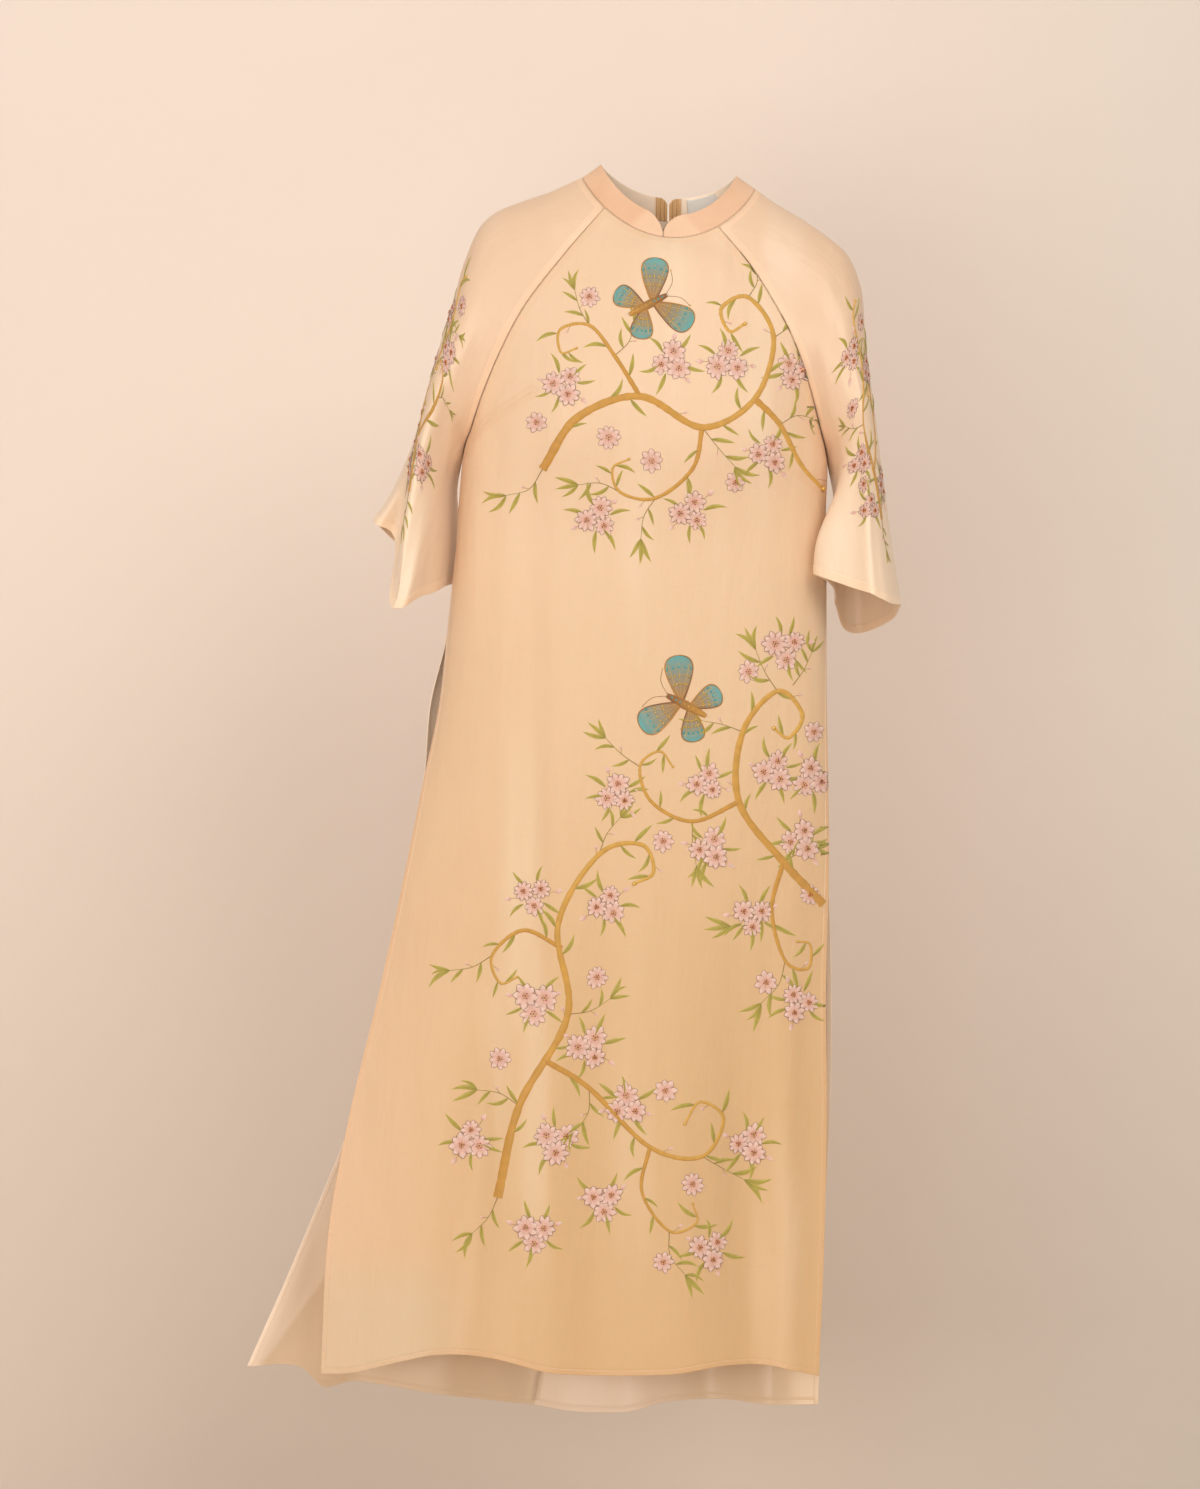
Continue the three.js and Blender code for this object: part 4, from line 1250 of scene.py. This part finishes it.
def curve(points, steps):
    """Smooth line through a few points."""
    rows = [(k, *point) for k, point in enumerate(points)]
    return [Vector(along(rows, at)) for at in spread(0, len(points) - 1, steps)]


def towards(angle, distance):
    """Step at an angle in degrees, 0 to the right and 90 up."""
    turn = math.radians(angle)
    return Vector((distance * math.cos(turn), distance * math.sin(turn)))


def heading(points, k):
    step = points[min(k + 1, len(points) - 1)] - points[max(k - 1, 0)]
    return math.degrees(math.atan2(step.y, step.x))


def leaf(work, root, angle, size, tones):
    """A narrow pointed leaf with a darker rib."""
    bend = work.chance.uniform(-0.14, 0.14) * size
    side = towards(angle + 90, bend)
    shares = spread(0, 1, 9)
    line = [root + towards(angle, size * share) + side * math.sin(math.pi * share) for share in shares]
    widths = [0.3 + LEAF_WIDTH * size * math.sin(math.pi * share ** 0.8) for share in shares]
    work.band(line, widths, tones, 0.5)
    work.band(line[:-1], [0.5] * (len(line) - 1), (LEAF_RIB, LEAF_RIB), 0.3, 0.42, 2)


def bud(work, root, angle, size):
    """A closed bud on a short stalk."""
    tip = root + towards(angle, size)
    work.band([root, root.lerp(tip, 0.5), tip], [0.7, 0.7, 0.7], (STEM, STEM), 0.35, 0, 2)
    shares = spread(0, 1, 6)
    line = [tip + towards(angle, size * 0.8 * share) for share in shares]
    widths = [0.3 + size * 0.55 * math.sin(math.pi * share ** 0.7) for share in shares]
    work.band(line, widths, (ROSE, PETAL), 0.7)


def rosette(work, x, z, radius, base=0.0):
    """A many-petalled flower with outlined petals and a beaded middle."""
    centre = Vector((x, z))
    petals = work.chance.choice((8, 9, 10))
    first = work.chance.uniform(0, 360)
    shares = spread(0, 1, 7)
    for k in range(petals):
        angle = first + 360 * k / petals + work.chance.uniform(-5, 5)
        reach = radius * work.chance.uniform(0.86, 1.08)
        wide = 2.4 * math.pi * radius / petals
        line = [centre + towards(angle, reach * mix(0.16, 1, share)) for share in shares]
        widths = [0.4 + 0.62 * wide * math.sin(math.pi * mix(0.12, 0.97, share ** 1.25)) for share in shares]
        work.band(line, widths, (ROSE, PETAL), 0.45, base)
        rim = [line[k] + towards(angle + 90, widths[k] / 2) for k in range(2, 8)]
        rim += [line[k] + towards(angle - 90, widths[k] / 2) for k in range(7, 1, -1)]
        work.band(rim, [0.55] * len(rim), (OUTLINE, OUTLINE), 0.35, base + 0.1, 2)
    for k in range(6):
        place = centre + towards(first + 60 * k, radius * 0.2)
        work.bead(place.x, place.y, 0.8, GOLD_BEAD if k % 2 else RED_BEAD, base=base + 0.4)
    work.bead(x, z, 1.0, RED_BEAD, base=base + 0.5)


def posy(work, x, z, radius):
    """Three flowers close together, with leaves and buds round them."""
    centre = Vector((x, z))
    first = work.chance.uniform(0, 360)
    for k in range(7):
        turn = first + 360 * k / 7 + work.chance.uniform(-16, 16)
        root = centre + towards(turn, radius * 1.1)
        if k % 3 == 2:
            bud(work, root, turn, work.chance.uniform(8, 11))
        else:
            leaf(work, root, turn, work.chance.uniform(18, 25), (LEAF, LEAF_TIP))
    for k in range(3):
        spot = centre + towards(first + 120 * k, radius * 0.9)
        rosette(work, spot.x, spot.y, radius * work.chance.uniform(0.85, 1.1), 0.25 * k)


def vine(work, start_width, end_width, points, leaves):
    """A tapering stem with a curled end, narrow leaves in turn along it and sprigs of buds."""
    steps = 16 * (len(points) - 1)
    line = curve(points, steps)
    widths = [mix(start_width, end_width, (k / steps) ** 0.8) * work.chance.uniform(0.9, 1.1)
              for k in range(steps + 1)]
    work.band(line, widths, (BRANCH, BRANCH_LIGHT), 0.9, 0, 6)
    work.bead(line[-1].x, line[-1].y, end_width * 0.75, GOLD_BEAD)
    for n in range(leaves):
        k = round(mix(0.05, 0.93, (n + work.chance.uniform(0.2, 0.8)) / leaves) * steps)
        side = 1 if n % 2 else -1
        angle = heading(line, k) + side * work.chance.uniform(30, 60)
        root = line[k] + towards(angle, widths[k] * 0.4)
        if n % 4 == 3:
            bud(work, root, angle, work.chance.uniform(5, 7))
        else:
            leaf(work, root, angle, work.chance.uniform(16, 26), (LEAF, LEAF_TIP))


def sprig(work, x, z, angle, size):
    """A thin curved twig with leaves fanned at its tip and buds along it."""
    bend = towards(angle + 90, size * work.chance.uniform(-0.2, 0.2))
    root = Vector((x, z))
    line = curve([root, root + towards(angle, size / 2) + bend, root + towards(angle, size)], 14)
    work.band(line, [mix(1.4, 0.7, k / 14) for k in range(15)], (STEM, LEAF), 0.5, 0, 2)
    for k, side in ((4, 1), (7, -1), (10, 1)):
        turn = heading(line, k) + side * work.chance.uniform(38, 55)
        if k == 7:
            bud(work, line[k], turn, 5)
        else:
            leaf(work, line[k], turn, size * work.chance.uniform(0.4, 0.55), (LEAF, LEAF_TIP))
    for turn in (-24, 4, 30):
        leaf(work, line[-1], heading(line, 14) + turn, size * work.chance.uniform(0.42, 0.62), (LEAF, LEAF_TIP))


def wing(work, root, angle, size, wide):
    """One rounded wing: dense stitches, an outlined margin, gold veins and rows of sequins."""
    shares = [math.sin(math.pi / 2 * part) for part in spread(0, 1, 14)]
    line = [root + towards(angle, size * share) for share in shares]
    widths = [1 + wide * 1.25 * share ** 0.8 * math.sqrt(1 - share ** 5) for share in shares]
    work.band(line, widths, (WING_ROOT, WING_TIP), 0.8, 0, 8)
    rim = [here + towards(angle + 90, wide_here / 2) for here, wide_here in zip(line, widths)]
    rim += [here + towards(angle - 90, wide_here / 2) for here, wide_here in zip(line[::-1], widths[::-1])]
    work.band(rim, [1.4] * len(rim), (BRANCH, BROWN), 0.8, 0.1, 4)
    for turn in (-16, 0, 16):
        vein = [root + towards(angle + turn, size * share * 0.86) for share in spread(0.1, 1, 8)]
        work.band(vein, [0.6] * len(vein), (GOLD, GOLD), 0.3, 0.7, 2)
    for share in (0.4, 0.58, 0.76):
        for turn in spread(-20, 20, 4):
            place = root + towards(angle + turn, size * share)
            tone = WING_BEAD if share > 0.6 else GOLD_BEAD
            work.bead(place.x, place.y, 1.25, tone, 0.35, 0.75)


def butterfly(work, x, z, angle, size):
    """A butterfly seen from above, its head towards the angle."""
    centre = Vector((x, z))
    for side in (-1, 1):
        wing(work, centre + towards(angle, size * 0.04), angle + side * 58, size * 0.52, size * 0.34)
        wing(work, centre - towards(angle, size * 0.06), angle + side * 126, size * 0.38, size * 0.28)
        feeler = curve([centre + towards(angle, size * 0.2), centre + towards(angle + side * 16, size * 0.36),
                        centre + towards(angle + side * 30, size * 0.46)], 10)
        work.band(feeler, [0.7] * 11, (BROWN, BROWN), 0.5, 0, 2)
        work.bead(feeler[-1].x, feeler[-1].y, 0.9, GOLD_BEAD)
    shares = spread(0, 1, 14)
    line = [centre + towards(angle, size * mix(-0.26, 0.22, share)) for share in shares]
    widths = [size * 0.075 * (0.35 + math.sin(math.pi * mix(0.1, 0.9, share))) for share in shares]
    work.band(line, widths, (BRANCH, BROWN), 2.2, 0.3, 6)
    for share in spread(0.12, 0.88, 7):
        place = line[0].lerp(line[-1], share)
        work.bead(place.x, place.y, 1.1, GOLD_BEAD if share < 0.6 else WING_BEAD, 0.6, 2.1)


EDGE_DIP = 0.15
LEAF_WIDTH = 0.2
STEM = (0.34, 0.20, 0.06)
LEAF = (0.39, 0.32, 0.045)
LEAF_TIP = (0.58, 0.48, 0.09)
LEAF_RIB = (0.25, 0.21, 0.03)
PETAL = (0.90, 0.69, 0.61)
ROSE = (0.76, 0.42, 0.33)
OUTLINE = (0.34, 0.15, 0.10)
BRANCH = (0.60, 0.30, 0.045)
BRANCH_LIGHT = (0.72, 0.43, 0.08)
BROWN = (0.26, 0.11, 0.035)
GOLD = (0.70, 0.45, 0.08)
WING_ROOT = (0.46, 0.19, 0.035)
WING_TIP = (0.05, 0.46, 0.50)
GOLD_BEAD = (0.78, 0.50, 0.10)
RED_BEAD = (0.50, 0.06, 0.03)
WING_BEAD = (0.07, 0.52, 0.56)

# Each design: vines (width at the start and the end, points x z, leaves), posies and rosettes (x, z, radius),
# sprigs (x, z, angle, size) and butterflies (x, z, angle, size).
CHEST = {
    "vine": (
        (10, 3, ((-132, -278), (-96, -226), (-32, -204), (32, -236), (86, -206), (106, -142), (80, -100),
                 (52, -112), (60, -136), (76, -128)), 13),
        (5.5, 2, ((-32, -204), (-58, -162), (-84, -130), (-114, -134), (-113, -158), (-97, -154)), 7),
        (5.5, 2, ((32, -236), (22, -278), (-16, -308), (-52, -302), (-60, -278), (-43, -268)), 7),
        (8, 4, ((86, -206), (112, -232), (134, -272), (157, -296)), 4),
    ),
    "sprig": (
        (-132, -278, 215, 46), (-84, -130, 112, 40), (106, -142, 35, 40), (-16, -308, 250, 44),
        (112, -232, 10, 40), (32, -236, 310, 52), (80, -100, 80, 38), (-58, -162, 60, 40), (-52, -302, 170, 44),
    ),
    "posy": (
        (-110, -192, 12), (0, -168, 12), (58, -168, 13), (-76, -328, 12), (20, -322, 12), (100, -262, 12),
        (128, -176, 11),
    ),
    "rosette": ((-64, -246, 13), (-84, -100, 11), (-138, -230, 11), (66, -292, 11), (-20, -270, 12)),
    "butterfly": ((-22, -108, 28, 90),),
}
WAIST = {
    "vine": (
        (10, 3, ((158, -726), (116, -682), (70, -620), (74, -548), (110, -506), (136, -530), (122, -554),
                 (106, -544)), 11),
        (5.5, 2, ((70, -620), (22, -640), (-20, -620), (-32, -584), (-12, -568), (2, -584)), 7),
        (5.5, 2, ((116, -682), (104, -732), (118, -784), (142, -792), (144, -768), (130, -764)), 6),
    ),
    "sprig": (
        (110, -506, 118, 48), (74, -548, 165, 44), (-32, -584, 140, 46), (22, -640, 275, 46),
        (116, -682, 20, 38), (118, -784, 240, 50), (104, -732, 200, 46), (126, -500, 60, 40),
    ),
    "posy": (
        (118, -462, 13), (146, -596, 12), (106, -588, 12), (40, -668, 12), (-56, -612, 12), (134, -660, 12),
        (84, -738, 12), (132, -828, 12), (36, -600, 11),
    ),
    "rosette": ((80, -486, 12), (148, -548, 11), (-8, -660, 12), (98, -806, 12), (144, -716, 11)),
    "butterfly": ((14, -520, 152, 94),),
}
SKIRT = {
    "vine": (
        (10, 3, ((-178, -1026), (-156, -932), (-106, -838), (-116, -746), (-74, -674), (-30, -664),
                 (-18, -692), (-38, -704)), 13),
        (7, 2.4, ((-131, -884), (-84, -914), (-22, -974), (32, -984), (54, -946), (30, -928), (14, -950)), 9),
        (5.5, 2, ((-112, -770), (-152, -752), (-184, -778), (-176, -806), (-158, -800)), 6),
        (4.5, 1.8, ((-22, -974), (-30, -1020), (-2, -1060), (26, -1052), (22, -1032)), 6),
    ),
    "sprig": (
        (-178, -1026, 235, 46), (-156, -932, 160, 46), (-74, -674, 60, 44), (-184, -778, 200, 46),
        (32, -984, 330, 50), (-84, -914, 250, 48), (-2, -1060, 290, 48), (-106, -838, 20, 46),
    ),
    "posy": (
        (-66, -726, 12), (-142, -716, 12), (-140, -826, 13), (-84, -872, 13), (-118, -968, 13), (-46, -932, 12),
        (-206, -968, 12), (80, -972, 12), (-70, -1030, 12), (-140, -1062, 12), (40, -1080, 12),
    ),
    "rosette": ((-76, -800, 12), (-176, -884, 12), (-6, -916, 12), (22, -1012, 12), (-8, -1092, 11)),
    "butterfly": (),
}
SLEEVE = {
    "vine": (
        (6.5, 2, ((14, -246), (2, -196), (-10, -140), (4, -84), (-2, -30), (6, -14)), 10),
        (5, 2, ((2, -196), (22, -158), (26, -118), (12, -106), (8, -118)), 5),
    ),
    "sprig": ((14, -246, 280, 30), (-10, -140, 150, 34), (4, -84, 40, 32), (24, -140, 20, 28)),
    "posy": ((-14, -62, 9), (20, -92, 10), (-20, -176, 10), (26, -212, 10), (-8, -232, 9)),
    "rosette": ((16, -40, 10), (-24, -112, 10), (-16, -204, 10)),
    "butterfly": (),
}


def lay_on_front():
    """Places as seen from straight in front of the garment."""
    tree = SURFACES["front"].tree

    def lay(x, z):
        spot, facing, _, _ = tree.ray_cast(Vector((x * MM, -1, z * MM)), Vector((0, 1, 0)))
        if spot is None:
            spot, facing, _, _ = tree.find_nearest(Vector((x * MM, -0.05, z * MM)))
        return spot, facing

    return lay


def between(places, values, at):
    """Value at a place in a rising table, straight between its entries."""
    k = min(max(bisect(places, at), 1), len(places) - 1)
    return mix(values[k - 1], values[k], (at - places[k - 1]) / (places[k] - places[k - 1]))


def lay_on_sleeve(sleeve, surface, middle, turn):
    """Places on a sleeve: x round the arm from a line down its outside, z down from the shoulder."""
    tree = SURFACES[surface].tree
    rows = spread(SLEEVE_DESIGN_TOP, CUFF, 60)
    shares = spread(-0.32, 0.32, 32)
    middle_of = len(shares) // 2
    down, rounds = [0.0], []
    for row in rows:
        ring = [sleeve.point(row, middle + share) for share in shares]
        length = [0.0]
        for here, there in zip(ring, ring[1:]):
            length.append(length[-1] + (there - here).length)
        rounds.append([at - length[middle_of] for at in length])
    spine = [sleeve.point(row, middle) for row in rows]
    for here, there in zip(spine, spine[1:]):
        down.append(down[-1] + (there - here).length)

    def lay(x, z):
        at = between(down, range(len(rows)), -z)
        k = min(max(int(at), 0), len(rows) - 2)
        share = mix(between(rounds[k], shares, turn * x), between(rounds[k + 1], shares, turn * x), at - k)
        spot, facing, _, _ = tree.find_nearest(sleeve.point(between(down, rows, -z), middle + share) * MM)
        return spot, facing

    return lay


SLEEVE_DESIGN_TOP = 2.9
MOTIFS = {"posy": posy, "rosette": rosette, "sprig": sprig, "butterfly": butterfly}


class AODAI_OT_embroidery(bpy.types.Operator):
    """Works the scrolls, flowers and butterflies in satin stitch and beads on the front and the sleeves"""

    bl_idname = "aodai.embroidery"
    bl_label = "Embroidery"

    def execute(self, context):
        materials = [satin_stitch_finish(), bead_finish()]
        front = lay_on_front()
        left = lay_on_sleeve(SLEEVE_LEFT, "sleeve_left", 0.37, -1)
        right = lay_on_sleeve(SLEEVE_RIGHT, "sleeve_right", 0.31, 1)
        works = (
            ("chest", front, CHEST, "silk"),
            ("waist", front, WAIST, "silk"),
            ("skirt", front, SKIRT, "silk"),
            ("sleeve_left", left, SLEEVE, "sleeve_silk"),
            ("sleeve_right", right, SLEEVE, "sleeve_silk"),
        )
        for name, lay, design, slot in works:
            work = Threadwork(lay, name)
            for kind, places in design.items():
                for place in places:
                    if kind == "vine":
                        start, end, points, leaves = place
                        vine(work, start, end, [Vector(point) for point in points], leaves)
                    else:
                        MOTIFS[kind](work, *place)
            finish_piece(f"embroidery_{name}", work.bm, materials)
        return {"FINISHED"}


class AODAI_OT_sheets(bpy.types.Operator):
    """Step for the cut sizes of the sheets of cloth; it does nothing"""

    bl_idname = "aodai.sheets"
    bl_label = "Cut sizes"

    def execute(self, context):
        return {"FINISHED"}


# ---------------------------------------------------------------- stage
VIEW_CENTRE = Vector((-0.073, 0, -0.561))  # middle of the garment, where the camera looks
NECK_CENTRE = Vector((VIEW_CENTRE.x, 0, 0))
LIGHTS = (  # name, place, where it points, size, power, its colour on the stage
    ("window light", (1.7, -3.6, 1.9), NECK_CENTRE, 2.2, 78, "warm"),
    ("soft light", (-2.2, -3.8, 0.6), NECK_CENTRE, 4, 58, "cool"),
    ("low fill", (-1.3, -5.0, -1.5), VIEW_CENTRE, 3, 112, "warm"),
    ("back light", (0.8, 4.4, 1.0), NECK_CENTRE, 3, 120, "warm"),
)
STAGE_HALF = 8  # half the side of the floor and of the backdrop
FLOOR_DROP = 0.2  # from the lowest hem to the floor

class AODAI_OT_stage(bpy.types.Operator):
    """Sets the pale floor and backdrop, the soft lights and the camera"""

    bl_idname = "aodai.stage"
    bl_label = "Stage, lights and camera"

    def execute(self, context):
        stage = context.scene.aodai_stage
        self.backdrop(stage)
        self.camera(context, stage)
        for name, place, aim, size, power, tone in LIGHTS:
            self.light(name, place, aim, size, power, getattr(stage, tone))
        world = bpy.data.worlds.new("room light")
        world.use_nodes = True
        background = world.node_tree.nodes["Background"]
        background.inputs["Color"].default_value = (1.0, 0.95, 0.9, 1)
        background.inputs["Strength"].default_value = 0.5
        context.scene.world = world
        context.scene.view_settings.view_transform = "Standard"
        return {"FINISHED"}

    def backdrop(self, stage):
        floor_z = CAD_BOX[0].z - FLOOR_DROP
        upright = Matrix.Rotation(math.pi / 2, 3, "X")
        for name, shade in (("floor", stage.floor), ("backdrop", stage.backdrop)):
            bm = bmesh.new()
            bmesh.ops.create_grid(bm, x_segments=1, y_segments=1, size=STAGE_HALF)
            if name == "floor":
                move = (0, stage.wall_behind - STAGE_HALF, floor_z)
            else:
                bmesh.ops.rotate(bm, verts=bm.verts, cent=(0, 0, 0), matrix=upright)
                move = (0, stage.wall_behind, floor_z + STAGE_HALF)
            bmesh.ops.translate(bm, verts=bm.verts, vec=move)
            mesh = bpy.data.meshes.new(name)
            bm.to_mesh(mesh)
            bm.free()
            mesh.materials.append(plaster_finish(f"plain {name}", shade))
            piece = bpy.data.objects.new(name, mesh)
            bpy.context.scene.collection.objects.link(piece)

    def camera(self, context, stage):
        data = bpy.data.cameras.new("camera")
        data.sensor_width = 36
        data.lens = data.sensor_width * stage.distance / stage.view_height
        camera = bpy.data.objects.new("camera", data)
        camera.location = VIEW_CENTRE - Vector((0, stage.distance, 0))
        camera.rotation_euler = (math.pi / 2, 0, 0)
        context.scene.collection.objects.link(camera)
        context.scene.camera = camera

    def light(self, name, place, aim, size, power, shade):
        data = bpy.data.lights.new(name, "AREA")
        data.size = size
        data.energy = power
        data.color = shade
        lamp = bpy.data.objects.new(name, data)
        lamp.location = place
        lamp.rotation_euler = (aim - Vector(place)).to_track_quat("-Z", "Y").to_euler()
        bpy.context.scene.collection.objects.link(lamp)


# ---------------------------------------------------------------- add-on
STEPS = (AODAI_OT_front, AODAI_OT_back, AODAI_OT_sleeves, AODAI_OT_collar, AODAI_OT_hems, AODAI_OT_zip,
         AODAI_OT_label, AODAI_OT_embroidery, AODAI_OT_sheets, AODAI_OT_stage)


class AODAI_PT_panel(bpy.types.Panel):
    bl_idname = "AODAI_PT_panel"
    bl_label = "Ao dai"
    bl_space_type = "VIEW_3D"
    bl_region_type = "UI"
    bl_category = "Ao dai"

    def draw(self, context):
        for step in STEPS:
            self.layout.operator(step.bl_idname)
        for group in GROUPS:
            box = self.layout.box()
            for name in GROUPS[group].__annotations__:
                box.prop(getattr(context.scene, group), name)


GROUPS = {"aodai_sizes": ClothSizes, "aodai_colours": ClothColours, "aodai_stage": StageSizes}


def register():
    for group, kind in GROUPS.items():
        bpy.utils.register_class(kind)
        setattr(bpy.types.Scene, group, PointerProperty(type=kind))
    for kind in (*STEPS, AODAI_PT_panel):
        bpy.utils.register_class(kind)


def unregister():
    for kind in (AODAI_PT_panel, *reversed(STEPS)):
        bpy.utils.unregister_class(kind)
    for group, kind in GROUPS.items():
        delattr(bpy.types.Scene, group)
        bpy.utils.unregister_class(kind)


def main():
    register()
    for step in STEPS:
        folder, name = step.bl_idname.split(".")
        getattr(getattr(bpy.ops, folder), name)()


if __name__ == "__main__":
    main()
